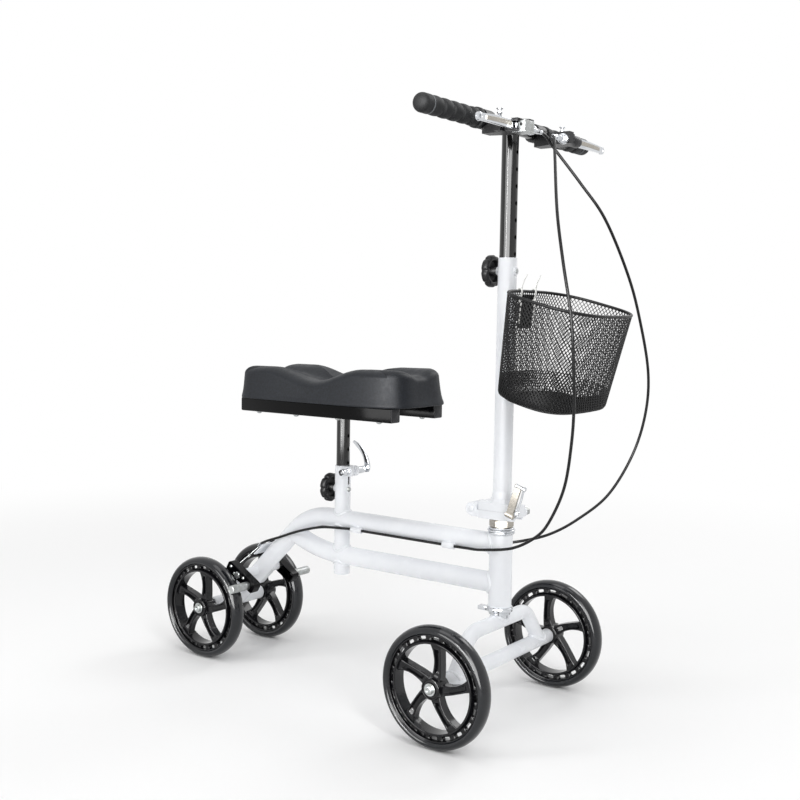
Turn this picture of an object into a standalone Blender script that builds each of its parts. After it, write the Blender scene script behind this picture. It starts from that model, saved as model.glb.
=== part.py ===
# Knee walker: a steerable four-wheeled scooter with a contoured knee pad, a folding
# steering column, a wire basket and two hand brakes that work on the rear tyres.
# Metres, +X forward, +Y to the rider's left, +Z up. The origin lies on the ground under
# the middle of the walker.

from math import cos, pi, radians, sin, tan

import bmesh
import bpy
from mathutils import Matrix, Vector

# Clearances
GAP = 0.0003
SLIDE_GAP = 0.0003
RUNNING_GAP = 0.0006

# Wheels
WHEEL_RADIUS = 0.100
TYRE_WIDTH = 0.030
TYRE_DEPTH = 0.0138
WHEELBASE = 0.632
FRONT_TRACK = 0.384
REAR_TRACK = 0.176
RIM_BARREL_RADIUS = 0.0720
RIM_BARREL_WALL = 0.0035
RIM_BARREL_WIDTH = 0.026
RIM_FLANGE_WIDTH = 0.011
RIM_SLOTS = 12
RIM_SLOT_LENGTH = 0.0130
RIM_SLOT_DEPTH = 0.0038
SPOKES = 5
SPOKE_THICKNESS = 0.017
SPOKE_ROOT_WIDTH = 0.0185
SPOKE_WAIST_WIDTH = 0.0125
SPOKE_SWEEP_DEG = 16.0
HUB_RADIUS = 0.0175
HUB_WIDTH = 0.031
AXLE_RADIUS = 0.0045
BOLT_HEAD_RADIUS = 0.0085
BOLT_HEAD_HEIGHT = 0.005
WASHER_RADIUS = 0.0115
WASHER_THICKNESS = 0.0015
AXLE_SPACER_RADIUS = 0.0085

# Frame tubes
MAIN_TUBE_RADIUS = 0.0175
UPPER_TUBE_HEIGHT = 0.300
UPPER_TUBE_SIDES = 20
LOWER_TUBE_HEIGHT = 0.231
DOWN_TUBE_SLOPE_DEG = 45.0
UPPER_BEND_RADIUS = 0.120
LOWER_BEND_RADIUS = 0.260
LOWER_BEND_START = 0.280
REAR_AXLE_TUBE_RADIUS = 0.0143
REAR_AXLE_TUBE_CLEARANCE = 0.0035
HEAD_TUBE_RADIUS = 0.020
HEAD_TUBE_BOTTOM = 0.198
HEAD_TUBE_TOP = 0.318
SEAT_TUBE_SETBACK = 0.351
SEAT_TUBE_WALL = 0.0020
SEAT_TUBE_BOTTOM = 0.195
SEAT_TUBE_TOP = 0.403
SEAT_SLOT_LENGTH = 0.036

# Headset and fork
STEERER_RADIUS = 0.0143
LOWER_CUP_RADIUS = 0.0220
STEERING_STOP = (0.022, 0.012, 0.007)
UPPER_CUP_RADIUS = 0.0240
UPPER_CUP_HEIGHT = 0.0125
LOCK_NUT_RADIUS = 0.0190
LOCK_NUT_HEIGHT = 0.0125
LOCK_NUT_FLANGE_RADIUS = 0.0220
LOCK_NUT_FLANGE_HEIGHT = 0.003
FORK_TUBE_RADIUS = 0.0127
FORK_ARCH_HEIGHT = 0.1655
FORK_SHOULDER = 0.090
FORK_FOOT = 0.141
FORK_BEND_RADIUS = 0.040
FRONT_AXLE_TUBE_CLEARANCE = 0.0015

# Fold joint
FOLD_HINGE_SETBACK = 0.050
FOLD_KNUCKLE_RADIUS = 0.0115
FOLD_KNUCKLE_CLEARANCE = 0.001
FOLD_PIN_RADIUS = 0.0035
FOLD_HALF_WIDTH = 0.0190
FOLD_TONGUE_HALF_WIDTH = 0.0068
FOLD_PLATE_HEIGHT = 0.0140
FOLD_PLATE_REACH = 0.022
FOLD_COLLAR_RADIUS = 0.0195
FOLD_COLLAR_HEIGHT = 0.008
FOLD_SKEWER_REACH = 0.032
FOLD_SKEWER_DROP = 0.001
FOLD_SKEWER_RADIUS = 0.0033
FOLD_LUG_HALF_WIDTH = 0.0180
FOLD_LUG_THICKNESS = 0.0075
FOLD_LUG_RADIUS = 0.0080
FOLD_NOSE_CLEARANCE = 0.001
FOLD_NUT_LENGTH = 0.012
FOLD_WASHER = 0.003
FOLD_CAM_RADIUS = 0.006
FOLD_LEVER = (0.016, 0.004, 0.050)
FOLD_LEVER_LEAN_DEG = 18.0

# Column and handlebar
COLUMN_RADIUS = 0.0160
COLUMN_BORE_GAP = 0.0006
COLUMN_TOP = 0.787
STEM_RADIUS = 0.0143
STEM_BOTTOM = 0.585
STEM_HOLE_PITCH = 0.028
STEM_HOLES = 9
HOLE_RADIUS = 0.0035
BAR_HEIGHT = 1.003
BAR_RADIUS = 0.0111
BAR_HALF_LENGTH = 0.2600
GRIP_INNER = 0.104
GRIP_RADIUS = 0.0158
GRIP_END = 0.0075
GRIP_CAP_LENGTH = 0.030
GRIP_RIDGE_DEPTH = 0.0022
GRIP_RIDGE_PITCH = 0.026
GRIP_RIDGES = 4

# Brake levers
LEVER_REACH = 0.059
LEVER_PIVOT_Y = 0.084
LEVER_PIN_RADIUS = 0.003
LEVER_ROOT_RADIUS = 0.0075
LEVER_ROOT_HEIGHT = 0.010
LEVER_BLADE_START = 0.0995
LEVER_TIP_Y = 0.2095
LEVER_DROP = 0.014
LEVER_TIP_FALL = 0.004
LEVER_TIP_REACH = 0.066
LEVER_THICKNESS = 0.008
LEVER_BLADE_HEIGHT = 0.018
LEVER_TIP_HEIGHT = 0.011
LEVER_TIP_RADIUS = 0.0068
CLAMP_RADIUS = 0.0160
CLAMP_INNER = 0.072
CLAMP_OUTER = 0.096
CLAMP_LIP = 0.0008
CLAMP_BODY_HEIGHT = 0.020
CLAMP_BODY_INNER = 0.060
LOCK_PIN_Y = 0.1035
LOCK_PIN_REACH = 0.041
LOCK_PIN_RADIUS = 0.003
LOCK_PIN_HEAD_RADIUS = 0.0055
LOCK_PIN_STANDS = 0.016
BARREL_REACH = 0.069
BARREL_DROP = 0.017
BARREL_RADIUS = 0.009
BARREL_LENGTH = 0.012
BARREL_NECK_RADIUS = 0.0045
BARREL_NECK_LENGTH = 0.0175

# Knobs
KNOB_RADIUS = 0.0272
KNOB_THICKNESS = 0.0175
KNOB_LOBES = 7
KNOB_LOBE_DEPTH = 0.0024
KNOB_CHAMFER = 0.003
KNOB_BOLT_RADIUS = 0.0035
KNOB_BOSS_RADIUS = 0.008
KNOB_BOSS_STANDS = 0.0022
SEAT_KNOB_CLEARANCE = 0.0133
COLUMN_KNOB_HEIGHT = 0.765

# Knee rest
SEAT_POST_RADIUS = 0.0127
POST_BOTTOM = 0.205
POST_HOLE_PITCH = 0.0254
POST_HOLES_ABOVE = 3
POST_HOLES_BELOW = 2
RAIL_SIZE = 0.0254
RAIL_SPACING = 0.132
RAIL_REAR = 0.090
RAIL_FRONT = 0.452
RAIL_TOP = 0.5249
RAIL_CHAMFER = 0.0015
CROSS_PLATE_LENGTH = 0.090
CROSS_PLATE_THICKNESS = 0.005
CROSS_FLANGE_THICKNESS = 0.003
PAD_LENGTH = 0.372
PAD_WIDTH = 0.190
PAD_MIDDLE = 0.284
PAD_SQUARENESS = 5.0
PAD_DIP_HEIGHT = 0.040
PAD_LOBE_HEIGHT = 0.064
PAD_DIP_PLACE = -0.10
PAD_DIP_REACH = 0.62
PAD_GROOVE_DEPTH = 0.016
PAD_GROOVE_WIDTH = 0.32
PAD_FRONT_RISE = 0.0025
PAD_EDGE_ROUND = 0.013
PAD_DRAFT = 0.008

# Seat clamp
SKEWER_REACH = 0.0220
SKEWER_HEIGHT = 0.3935
SKEWER_RADIUS = 0.0030
SKEWER_BARREL_RADIUS = 0.0068
SKEWER_BARREL_LENGTH = 0.0210
SKEWER_NUT_LENGTH = 0.012
EAR_INNER = 0.0030
EAR_OUTER = 0.0120
EAR_HEIGHT = 0.0190
EAR_REACH = 0.030
SEAT_CAM_RADIUS = 0.006
SEAT_CAM_LENGTH = 0.010
SEAT_LEVER_THICKNESS = 0.005

# Basket
BASKET_TILT_DEG = 14.3
BASKET_REACH = 0.121
BASKET_RIM_HEIGHT = 0.711
BASKET_TOP = (0.082, 0.119)
BASKET_BOTTOM = (0.067, 0.111)
BASKET_DEPTH = 0.164
BASKET_BOTTOM_SHIFT = 0.011
BASKET_WALL = 0.0020
BASKET_RIM_RADIUS = 0.0028
BASKET_SQUARENESS = 3.0
HOOK_PLATE = (0.056, 0.044, 0.0025)
HOOK_TONGUE = (0.0025, 0.022, 0.030)
HOOK_BRIDGE_HEIGHT = 0.005
HOOK_BELOW_RIM = 0.006
BRACKET_REAR_WALL = 0.003
BRACKET_FRONT_WALL = 0.003
BRACKET_HALF_WIDTH = 0.016
BRACKET_HEIGHT = 0.036

# Brakes
BRAKE_PIVOT_REACH = 0.0705
BRAKE_PIVOT_RADIUS = 0.0040
BRAKE_BOSS_RADIUS = 0.0090
BRAKE_ARM_INNER = 0.0475
BRAKE_ARM_WIDTH = 0.018
BRAKE_ARM_TAIL = 0.034
BRAKE_ARM_NOSE = 0.047
BRAKE_ARM_SLOPE_DEG = 30.0
BRAKE_ARM_HEIGHT = 0.022
BRAKE_ARM_WALL = 0.0020
BRAKE_ROLLER_RADIUS = 0.008
BRAKE_ROLLER_GAP = 0.0025
BRAKE_ROLLER_ANGLE_DEG = 29.0
BRAKE_ROLLER_OVERHANG = 0.009
BRAKE_STUD_RADIUS = 0.004
BRACKET_PLATE = (0.040, 0.104, 0.003)
BRACKET_PLATE_DISTANCE = 0.060
BRACKET_SLOT = (0.014, 0.003)

# Cables
CABLE_RADIUS = 0.0025
CABLE_SIDE = 0.0180
CABLE_DROP = 0.0130
GUIDE_RADIUS = 0.0055
GUIDE_LENGTH = 0.012
FRONT_GUIDE_SETBACK = 0.096
REAR_GUIDE_SETBACK = 0.302
CABLE_STANDS_OUT = 0.004
CABLE_STOP_DISTANCE = 0.1369
CABLE_STOP_HEIGHT = 0.038
CABLE_STOP_HOLE_HEIGHT = 0.0307
CABLE_STOP_THICKNESS = 0.0025
CABLE_STOP_HALF_WIDTH = 0.022
CABLE_STOP_CORNER = 0.008
CABLE_STOP_SIDE = 0.014
WIRE_HOLE_RADIUS = 0.0012

# Places that follow from the sizes
BASKET_TILT = radians(BASKET_TILT_DEG)
BASKET_NOSE = BASKET_REACH + BASKET_TOP[0] * cos(BASKET_TILT) + BASKET_RIM_RADIUS
REAR_AXLE_X = -(WHEELBASE + BASKET_NOSE - WHEEL_RADIUS) / 2
FRONT_AXLE_X = REAR_AXLE_X + WHEELBASE
SEAT_X = FRONT_AXLE_X - SEAT_TUBE_SETBACK
SEAT_BORE = SEAT_POST_RADIUS + SLIDE_GAP
SEAT_KNOB_HEIGHT = UPPER_TUBE_HEIGHT + MAIN_TUBE_RADIUS + KNOB_RADIUS + SEAT_KNOB_CLEARANCE
SEAT_TUBE_RADIUS = SEAT_BORE + SEAT_TUBE_WALL
SKEWER_X = SEAT_X + SKEWER_REACH
FOLD_HINGE_X = FRONT_AXLE_X - FOLD_HINGE_SETBACK
FOLD_SKEWER_X = FRONT_AXLE_X + FOLD_SKEWER_REACH
LOWER_CUP_BOTTOM = FORK_ARCH_HEIGHT + FORK_TUBE_RADIUS + GAP
CUP_TOP = HEAD_TUBE_TOP + GAP + UPPER_CUP_HEIGHT
NUT_BOTTOM = CUP_TOP + GAP
NUT_TOP = NUT_BOTTOM + LOCK_NUT_HEIGHT
FOLD_BASE_BOTTOM = NUT_TOP + GAP
FOLD_BASE_TOP = FOLD_BASE_BOTTOM + FOLD_PLATE_HEIGHT
FOLD_HINGE_Z = FOLD_BASE_TOP + GAP / 2
FOLD_SKEWER_Z = FOLD_HINGE_Z - FOLD_SKEWER_DROP
FOLD_HEAD_BOTTOM = FOLD_BASE_TOP + GAP
FOLD_HEAD_TOP = FOLD_HEAD_BOTTOM + FOLD_PLATE_HEIGHT
COLUMN_BOTTOM = FOLD_HEAD_TOP + GAP
DOWN_SLOPE = radians(DOWN_TUBE_SLOPE_DEG)
DOWN_TUBE = Vector((cos(DOWN_SLOPE), 0, sin(DOWN_SLOPE)))
DOWN_TUBE_UP = Vector((-sin(DOWN_SLOPE), 0, cos(DOWN_SLOPE)))
REAR_AXLE = Vector((REAR_AXLE_X, 0, WHEEL_RADIUS))
BRAKE_PIVOT = REAR_AXLE + DOWN_TUBE * (BRAKE_PIVOT_REACH / cos(DOWN_SLOPE))
BRAKE_ARM_OUTER = BRAKE_ARM_INNER + BRAKE_ARM_WIDTH
REAR_TUBE_END = REAR_TRACK / 2 - HUB_WIDTH / 2 - REAR_AXLE_TUBE_CLEARANCE
FRONT_TUBE_END = FRONT_TRACK / 2 - HUB_WIDTH / 2 - FRONT_AXLE_TUBE_CLEARANCE
CABLE_HEIGHT = UPPER_TUBE_HEIGHT - CABLE_DROP
FRONT_GUIDE_X = FRONT_AXLE_X - FRONT_GUIDE_SETBACK
REAR_GUIDE_X = FRONT_AXLE_X - REAR_GUIDE_SETBACK
CABLE_JOINT_X = FRONT_GUIDE_X + GUIDE_LENGTH / 2 + CABLE_STANDS_OUT
RAIL_INNER = RAIL_SPACING / 2 - RAIL_SIZE / 2
SEAT_LEVER_Y = EAR_OUTER + GAP + SKEWER_BARREL_LENGTH + GAP + SEAT_CAM_RADIUS
FOLD_LEVER_Y = -(FOLD_LUG_HALF_WIDTH + GAP + FOLD_WASHER + GAP + FOLD_CAM_RADIUS)
LEVER_Z = BAR_HEIGHT - LEVER_DROP
BARREL_END = CLAMP_BODY_INNER - GAP - BARREL_LENGTH - BARREL_NECK_LENGTH

# Finishes: base colour, roughness, metallic
WHITE_PAINT = ((0.88, 0.89, 0.90), 0.30, 0.0)
BLACK_PAINT = ((0.02, 0.02, 0.022), 0.25, 0.0)
CHROME = ((0.78, 0.78, 0.78), 0.15, 1.0)
ZINC = ((0.62, 0.62, 0.60), 0.40, 1.0)
BLACK_PLASTIC = ((0.03, 0.03, 0.032), 0.50, 0.0)
GLOSSY_PLASTIC = ((0.02, 0.02, 0.022), 0.20, 0.0)
BLACK_TYRE = ((0.02, 0.02, 0.022), 0.18, 0.0)
BLACK_RUBBER = ((0.025, 0.025, 0.025), 0.70, 0.0)
BLACK_FOAM = ((0.035, 0.036, 0.038), 0.80, 0.0)
BLACK_MESH = ((0.02, 0.02, 0.02), 0.45, 0.6)

X_AXIS = Vector((1, 0, 0))
Y_AXIS = Vector((0, 1, 0))
Z_AXIS = Vector((0, 0, 1))
SIDES = (("left", 1), ("right", -1))

for leftover in list(bpy.data.objects):
    bpy.data.objects.remove(leftover, do_unlink=True)

parts = bpy.data.collections.new("knee_walker")
cutters = bpy.data.collections.new("cutters")
for collection in (parts, cutters):
    bpy.context.scene.collection.children.link(collection)

standing = {}


def paint(name, finish):
    colour, roughness, metallic = finish
    material = bpy.data.materials.new(name)
    material.use_nodes = True
    shader = material.node_tree.nodes["Principled BSDF"]
    shader.inputs["Base Color"].default_value = (*colour, 1.0)
    shader.inputs["Roughness"].default_value = roughness
    shader.inputs["Metallic"].default_value = metallic
    return material


def attach(thing, place, parent):
    # The mesh or empty stands at a place in the world and hangs from its parent empty.
    thing.location = place
    if parent is not None:
        thing.parent = parent
        thing.matrix_parent_inverse = Matrix.Translation(-standing[parent.name])
    standing[thing.name] = Vector(place)


def pivot(name, place, parent=None):
    empty = bpy.data.objects.new(name, None)
    empty.empty_display_size = 0.03
    parts.objects.link(empty)
    attach(empty, place, parent)
    return empty


def part(name, thing, finish, body, place=(0, 0, 0)):
    thing.name = name
    thing.data.name = name
    attach(thing, place, body)
    thing.data.materials.clear()
    thing.data.materials.append(paint(name, finish))
    return thing


def combine(thing, operation, others):
    for other in others:
        step = thing.modifiers.new(operation.title(), "BOOLEAN")
        step.operation = operation
        step.solver = "EXACT"
        step.object = other
        parts.objects.unlink(other)
        cutters.objects.link(other)
        other.hide_render = True
        other.display_type = "WIRE"
    return thing


def cut(thing, *others):
    return combine(thing, "DIFFERENCE", others)


def join(thing, *others):
    return combine(thing, "UNION", others)


def mesh_object(name, bm, sharp_deg=35.0):
    mesh = bpy.data.meshes.new(name)
    bm.to_mesh(mesh)
    bm.free()
    mesh.shade_smooth()
    mesh.set_sharp_from_angle(angle=radians(sharp_deg))
    thing = bpy.data.objects.new(name, mesh)
    parts.objects.link(thing)
    return thing


def turn_to(axis):
    return axis.to_track_quat("Z", "Y").to_matrix().to_4x4()


def rods(name, radius, ends, sides=16):
    # Straight round bars, each between two points.
    bm = bmesh.new()
    for start, end in ends:
        start, end = Vector(start), Vector(end)
        place = Matrix.Translation((start + end) / 2) @ turn_to((end - start).normalized())
        bmesh.ops.create_cone(bm, cap_ends=True, segments=sides, radius1=radius, radius2=radius,
                              depth=(end - start).length, matrix=place)
    return mesh_object(name, bm)


def rod(name, radius, start, end, sides=16):
    return rods(name, radius, [(start, end)], sides)


def blocks(name, size, places, bevel=0.0):
    bm = bmesh.new()
    for place in places:
        bmesh.ops.create_cube(bm, size=1.0, matrix=place @ Matrix.Diagonal((*size, 1.0)))
    if bevel:
        bmesh.ops.bevel(bm, geom=bm.edges[:], offset=bevel, segments=1, affect="EDGES")
    return mesh_object(name, bm)


def block(name, low, high, bevel=0.0):
    # A box between two corners.
    low, high = Vector(low), Vector(high)
    return blocks(name, high - low, [Matrix.Translation((low + high) / 2)], bevel)


def from_object(thing):
    # The evaluated object becomes a plain mesh in the world's own place.
    bpy.context.view_layer.update()
    seen = thing.evaluated_get(bpy.context.evaluated_depsgraph_get())
    mesh = bpy.data.meshes.new_from_object(seen)
    bm = bmesh.new()
    bm.from_mesh(mesh)
    bm.transform(thing.matrix_world)
    bmesh.ops.remove_doubles(bm, verts=bm.verts, dist=0.00001)
    name = thing.name
    bpy.data.objects.remove(thing, do_unlink=True)
    bpy.data.meshes.remove(mesh)
    return name, bm


def tube(name, points, radius, sides=16, closed=False, sharp_deg=50.0, tilt=0.0):
    # A round tube along points: a curve with a bevel and filled caps, made a mesh.
    curve = bpy.data.curves.new(name, "CURVE")
    curve.dimensions = "3D"
    curve.bevel_depth = radius
    curve.bevel_resolution = (sides - 4) // 2
    curve.use_fill_caps = True
    spline = curve.splines.new("POLY")
    spline.points.add(len(points) - 1)
    spline.use_cyclic_u = closed
    for index, point in enumerate(points):
        spline.points[index].co = (*point, 1.0)
        spline.points[index].tilt = tilt
    guide = bpy.data.objects.new(name, curve)
    parts.objects.link(guide)
    return mesh_object(*from_object(guide), sharp_deg)


def turned(name, profile, place, axis, steps=20):
    # A profile of (radius, height) turned about an axis. It runs down its outer side.
    bm = bmesh.new()
    corners = [bm.verts.new((radius, 0, height)) for radius, height in profile]
    hollow = profile[0][0] > 0
    for first, second in zip(corners, corners[1:] + (corners[:1] if hollow else [])):
        bm.edges.new((first, second))
    thing = mesh_object(name, bm)
    thing.matrix_world = Matrix.Translation(Vector(place)) @ turn_to(axis)
    screw = thing.modifiers.new("Screw", "SCREW")
    screw.steps = steps
    screw.render_steps = steps
    screw.use_merge_vertices = True
    screw.merge_threshold = 0.00001
    return mesh_object(*from_object(thing))


def ring(name, outer, inner, bottom, top, place, axis, steps=20):
    return turned(name, [(outer, top), (outer, bottom), (inner, bottom), (inner, top)], place, axis, steps)


def plate(name, outline, thickness, place):
    # A flat outline with a thickness, laid in the place's own x and y.
    curve = bpy.data.curves.new(name, "CURVE")
    curve.dimensions = "2D"
    curve.fill_mode = "BOTH"
    curve.extrude = thickness / 2
    spline = curve.splines.new("POLY")
    spline.points.add(len(outline) - 1)
    spline.use_cyclic_u = True
    for index, (x, y) in enumerate(outline):
        spline.points[index].co = (x, y, 0.0, 1.0)
    guide = bpy.data.objects.new(name, curve)
    parts.objects.link(guide)
    guide.matrix_world = place
    return mesh_object(*from_object(guide))


def loft(name, rings, sharp_deg=35.0):
    # Rings of as many points each, from the top one down, with both ends closed.
    bm = bmesh.new()
    loops = [[bm.verts.new(point) for point in points] for points in rings]
    for upper, lower in zip(loops, loops[1:]):
        for index in range(len(upper)):
            after = (index + 1) % len(upper)
            bm.faces.new((upper[index], lower[index], lower[after], upper[after]))
    bm.faces.new(loops[0])
    bm.faces.new(loops[-1][::-1])
    return mesh_object(name, bm, sharp_deg)


def facing(place, along, across):
    # A place whose x runs along one direction and y along another.
    along, across = Vector(along).normalized(), Vector(across).normalized()
    turn = Matrix((along, across, along.cross(across))).transposed().to_4x4()
    return Matrix.Translation(Vector(place)) @ turn


def rounded(corners, radius, count=6):
    # A polyline with every inner corner rounded by an arc.
    points = [Vector(corners[0])]
    for before, corner, after in zip(corners, corners[1:], corners[2:]):
        corner = Vector(corner)
        inward = (Vector(before) - corner).normalized()
        outward = (Vector(after) - corner).normalized()
        half = inward.angle(outward) / 2
        reach = radius / tan(half)
        middle = corner + (inward + outward).normalized() * (radius / sin(half))
        first = corner + inward * reach - middle
        last = corner + outward * reach - middle
        sweep = pi - 2 * half
        for step in range(count + 1):
            share = step / count
            arm = (first * sin((1 - share) * sweep) + last * sin(share * sweep)) / sin(sweep)
            points.append(middle + arm)
    points.append(Vector(corners[-1]))
    return points


def rounded_outline(half_length, half_width, corner, count=3):
    # A flat rectangle with round corners, anticlockwise.
    outline = []
    for quarter, (x, y) in enumerate(((1, 1), (-1, 1), (-1, -1), (1, -1))):
        middle = (x * (half_length - corner), y * (half_width - corner))
        for step in range(count + 1):
            angle = (quarter + step / count) * pi / 2
            outline.append((middle[0] + corner * cos(angle), middle[1] + corner * sin(angle)))
    return outline


def superellipse(half_x, half_y, power, count):
    points = []
    for step in range(count):
        angle = 2 * pi * step / count
        x, y = cos(angle), sin(angle)
        points.append((half_x * abs(x) ** (2 / power) * (1 if x > 0 else -1),
                       half_y * abs(y) ** (2 / power) * (1 if y > 0 else -1)))
    return points


def smooth(route, count):
    # A smooth curve through a route's own points, read at even steps.
    route = [Vector(point) for point in route]
    route = [route[0] * 2 - route[1]] + route + [route[-1] * 2 - route[-2]]
    dense = []
    for p0, p1, p2, p3 in zip(route, route[1:], route[2:], route[3:]):
        for step in range(24):
            t = step / 24
            dense.append(0.5 * (2 * p1 + (p2 - p0) * t + (2 * p0 - 5 * p1 + 4 * p2 - p3) * t * t
                                + (3 * p1 - p0 - 3 * p2 + p3) * t * t * t))
    dense.append(route[-2])
    lengths = [0.0]
    for first, second in zip(dense, dense[1:]):
        lengths.append(lengths[-1] + (second - first).length)
    points, place = [dense[0]], 0
    for step in range(1, count - 1):
        goal = lengths[-1] * step / (count - 1)
        while lengths[place + 1] < goal:
            place += 1
        share = (goal - lengths[place]) / (lengths[place + 1] - lengths[place])
        points.append(dense[place].lerp(dense[place + 1], share))
    points.append(dense[-1])
    return points


# Bodies: the frame, then what moves on it, each with an empty on its joint
frame = pivot("frame_pivot", (0, 0, 0))
seat = pivot("seat_slide", (SEAT_X, 0, SEAT_TUBE_TOP), frame)
seat_lever = pivot("seat_lever_pivot", (SKEWER_X, SEAT_LEVER_Y, SKEWER_HEIGHT), frame)
seat_knob = pivot("seat_knob_pivot", (SEAT_X - SEAT_TUBE_RADIUS, 0, SEAT_KNOB_HEIGHT), frame)
steering = pivot("steering_pivot", (FRONT_AXLE_X, 0, HEAD_TUBE_BOTTOM), frame)
fold_lever = pivot("fold_lever_pivot", (FOLD_SKEWER_X, FOLD_LEVER_Y, FOLD_SKEWER_Z), steering)
column = pivot("fold_pivot", (FOLD_HINGE_X, 0, FOLD_HINGE_Z), steering)
column_knob = pivot("column_knob_pivot", (FRONT_AXLE_X - COLUMN_RADIUS, 0, COLUMN_KNOB_HEIGHT), column)
basket = pivot("basket_slide", (FRONT_AXLE_X + COLUMN_RADIUS, 0, BASKET_RIM_HEIGHT), column)
handlebar = pivot("handlebar_slide", (FRONT_AXLE_X, 0, COLUMN_TOP), column)

# Routes of the two main frame tubes
corner_x = REAR_AXLE_X + (UPPER_TUBE_HEIGHT - WHEEL_RADIUS) / tan(DOWN_SLOPE)
upper_route = rounded([REAR_AXLE + DOWN_TUBE * 0.004, (corner_x, 0, UPPER_TUBE_HEIGHT),
                       (FRONT_AXLE_X - 0.005, 0, UPPER_TUBE_HEIGHT)], UPPER_BEND_RADIUS, 6)
# The lower tube rises until it meets the middle of the down tube
bend_x = REAR_AXLE_X + LOWER_BEND_START
slope = tan(DOWN_SLOPE)
depth = WHEEL_RADIUS + LOWER_BEND_START * slope - LOWER_TUBE_HEIGHT
reach = LOWER_BEND_RADIUS * ((slope * slope + 2 * depth / LOWER_BEND_RADIUS) ** 0.5 - slope)
lower_route = [(FRONT_AXLE_X - 0.005, 0, LOWER_TUBE_HEIGHT), (bend_x, 0, LOWER_TUBE_HEIGHT)]
for step in range(1, 6):
    back = reach * step / 5
    lower_route.append((bend_x - back, 0, LOWER_TUBE_HEIGHT + back * back / (2 * LOWER_BEND_RADIUS)))


def seat_tube_cutter(name):
    return rod(name, SEAT_TUBE_RADIUS + GAP, (SEAT_X, 0, SEAT_TUBE_BOTTOM - 0.01),
               (SEAT_X, 0, SEAT_TUBE_TOP + 0.01))


def head_tube_cutter(name):
    return rod(name, HEAD_TUBE_RADIUS + GAP, (FRONT_AXLE_X, 0, HEAD_TUBE_BOTTOM - 0.01),
               (FRONT_AXLE_X, 0, HEAD_TUBE_TOP + 0.01), 20)


def upper_tube_form(name, radius):
    # Tilted by half a side, so that the brake bracket's slot lies inside a flat
    return tube(name, upper_route, radius, UPPER_TUBE_SIDES, tilt=pi / UPPER_TUBE_SIDES)


def cable_guides(name, radius, length):
    ends = []
    for x in (FRONT_GUIDE_X, REAR_GUIDE_X):
        for side in (CABLE_SIDE, -CABLE_SIDE):
            ends.append(((x - length / 2, side, CABLE_HEIGHT), (x + length / 2, side, CABLE_HEIGHT)))
    return rods(name, radius, ends, 12)


# Upper tube, which bends down to the rear axle, with the brake boss, cable guides and cable stop
plate_middle = REAR_AXLE + DOWN_TUBE * BRACKET_PLATE_DISTANCE
stop_foot = REAR_AXLE + DOWN_TUBE * CABLE_STOP_DISTANCE
stop_holes = [stop_foot + DOWN_TUBE_UP * CABLE_STOP_HOLE_HEIGHT + Y_AXIS * side * CABLE_STOP_SIDE
              for _, side in SIDES]
stop_shoulder = CABLE_STOP_HEIGHT - CABLE_STOP_CORNER
stop_top_half = CABLE_STOP_HALF_WIDTH - CABLE_STOP_CORNER
stop_outline = [(0, -stop_top_half), (stop_shoulder / 2, -CABLE_STOP_HALF_WIDTH),
                (stop_shoulder, -CABLE_STOP_HALF_WIDTH), (CABLE_STOP_HEIGHT, -stop_top_half),
                (CABLE_STOP_HEIGHT, stop_top_half), (stop_shoulder, CABLE_STOP_HALF_WIDTH),
                (stop_shoulder / 2, CABLE_STOP_HALF_WIDTH), (0, stop_top_half)]
boss_end = BRAKE_ARM_INNER - GAP
upper_tube = part("upper_tube", upper_tube_form("upper_tube", MAIN_TUBE_RADIUS), WHITE_PAINT, frame)
join(upper_tube,
     rod("brake_boss", BRAKE_BOSS_RADIUS, BRAKE_PIVOT - Y_AXIS * boss_end, BRAKE_PIVOT + Y_AXIS * boss_end, 16),
     cable_guides("guide_sleeves", GUIDE_RADIUS, GUIDE_LENGTH),
     plate("cable_stop", stop_outline, CABLE_STOP_THICKNESS, facing(stop_foot, DOWN_TUBE_UP, Y_AXIS)))
cut(upper_tube,
    seat_tube_cutter("upper_seat_tube_bore"),
    head_tube_cutter("upper_head_tube_cope"),
    rod("upper_axle_cope", REAR_AXLE_TUBE_RADIUS + GAP, REAR_AXLE - Y_AXIS * 0.03, REAR_AXLE + Y_AXIS * 0.03),
    blocks("upper_plate_slot", (BRACKET_PLATE[0] + 2 * GAP, BRACKET_PLATE[1], BRACKET_PLATE[2] + 2 * GAP),
           [facing(plate_middle, DOWN_TUBE, Y_AXIS)]),
    rod("brake_pivot_bore", BRAKE_PIVOT_RADIUS + GAP, BRAKE_PIVOT - Y_AXIS * 0.06, BRAKE_PIVOT + Y_AXIS * 0.06, 12),
    cable_guides("guide_bores", CABLE_RADIUS + GAP, GUIDE_LENGTH + 0.01),
    rods("wire_holes", WIRE_HOLE_RADIUS, [(hole - DOWN_TUBE * 0.005, hole + DOWN_TUBE * 0.005)
                                          for hole in stop_holes], 8))

lower_tube = part("lower_tube", tube("lower_tube", lower_route, MAIN_TUBE_RADIUS), WHITE_PAINT, frame)
cut(lower_tube,
    seat_tube_cutter("lower_seat_tube_bore"),
    head_tube_cutter("lower_head_tube_cope"),
    upper_tube_form("lower_tube_cope", MAIN_TUBE_RADIUS + GAP))

part("rear_axle_tube", ring("rear_axle_tube", REAR_AXLE_TUBE_RADIUS, AXLE_RADIUS + GAP, -REAR_TUBE_END,
                            REAR_TUBE_END, REAR_AXLE, Y_AXIS, 16), WHITE_PAINT, frame)

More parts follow.
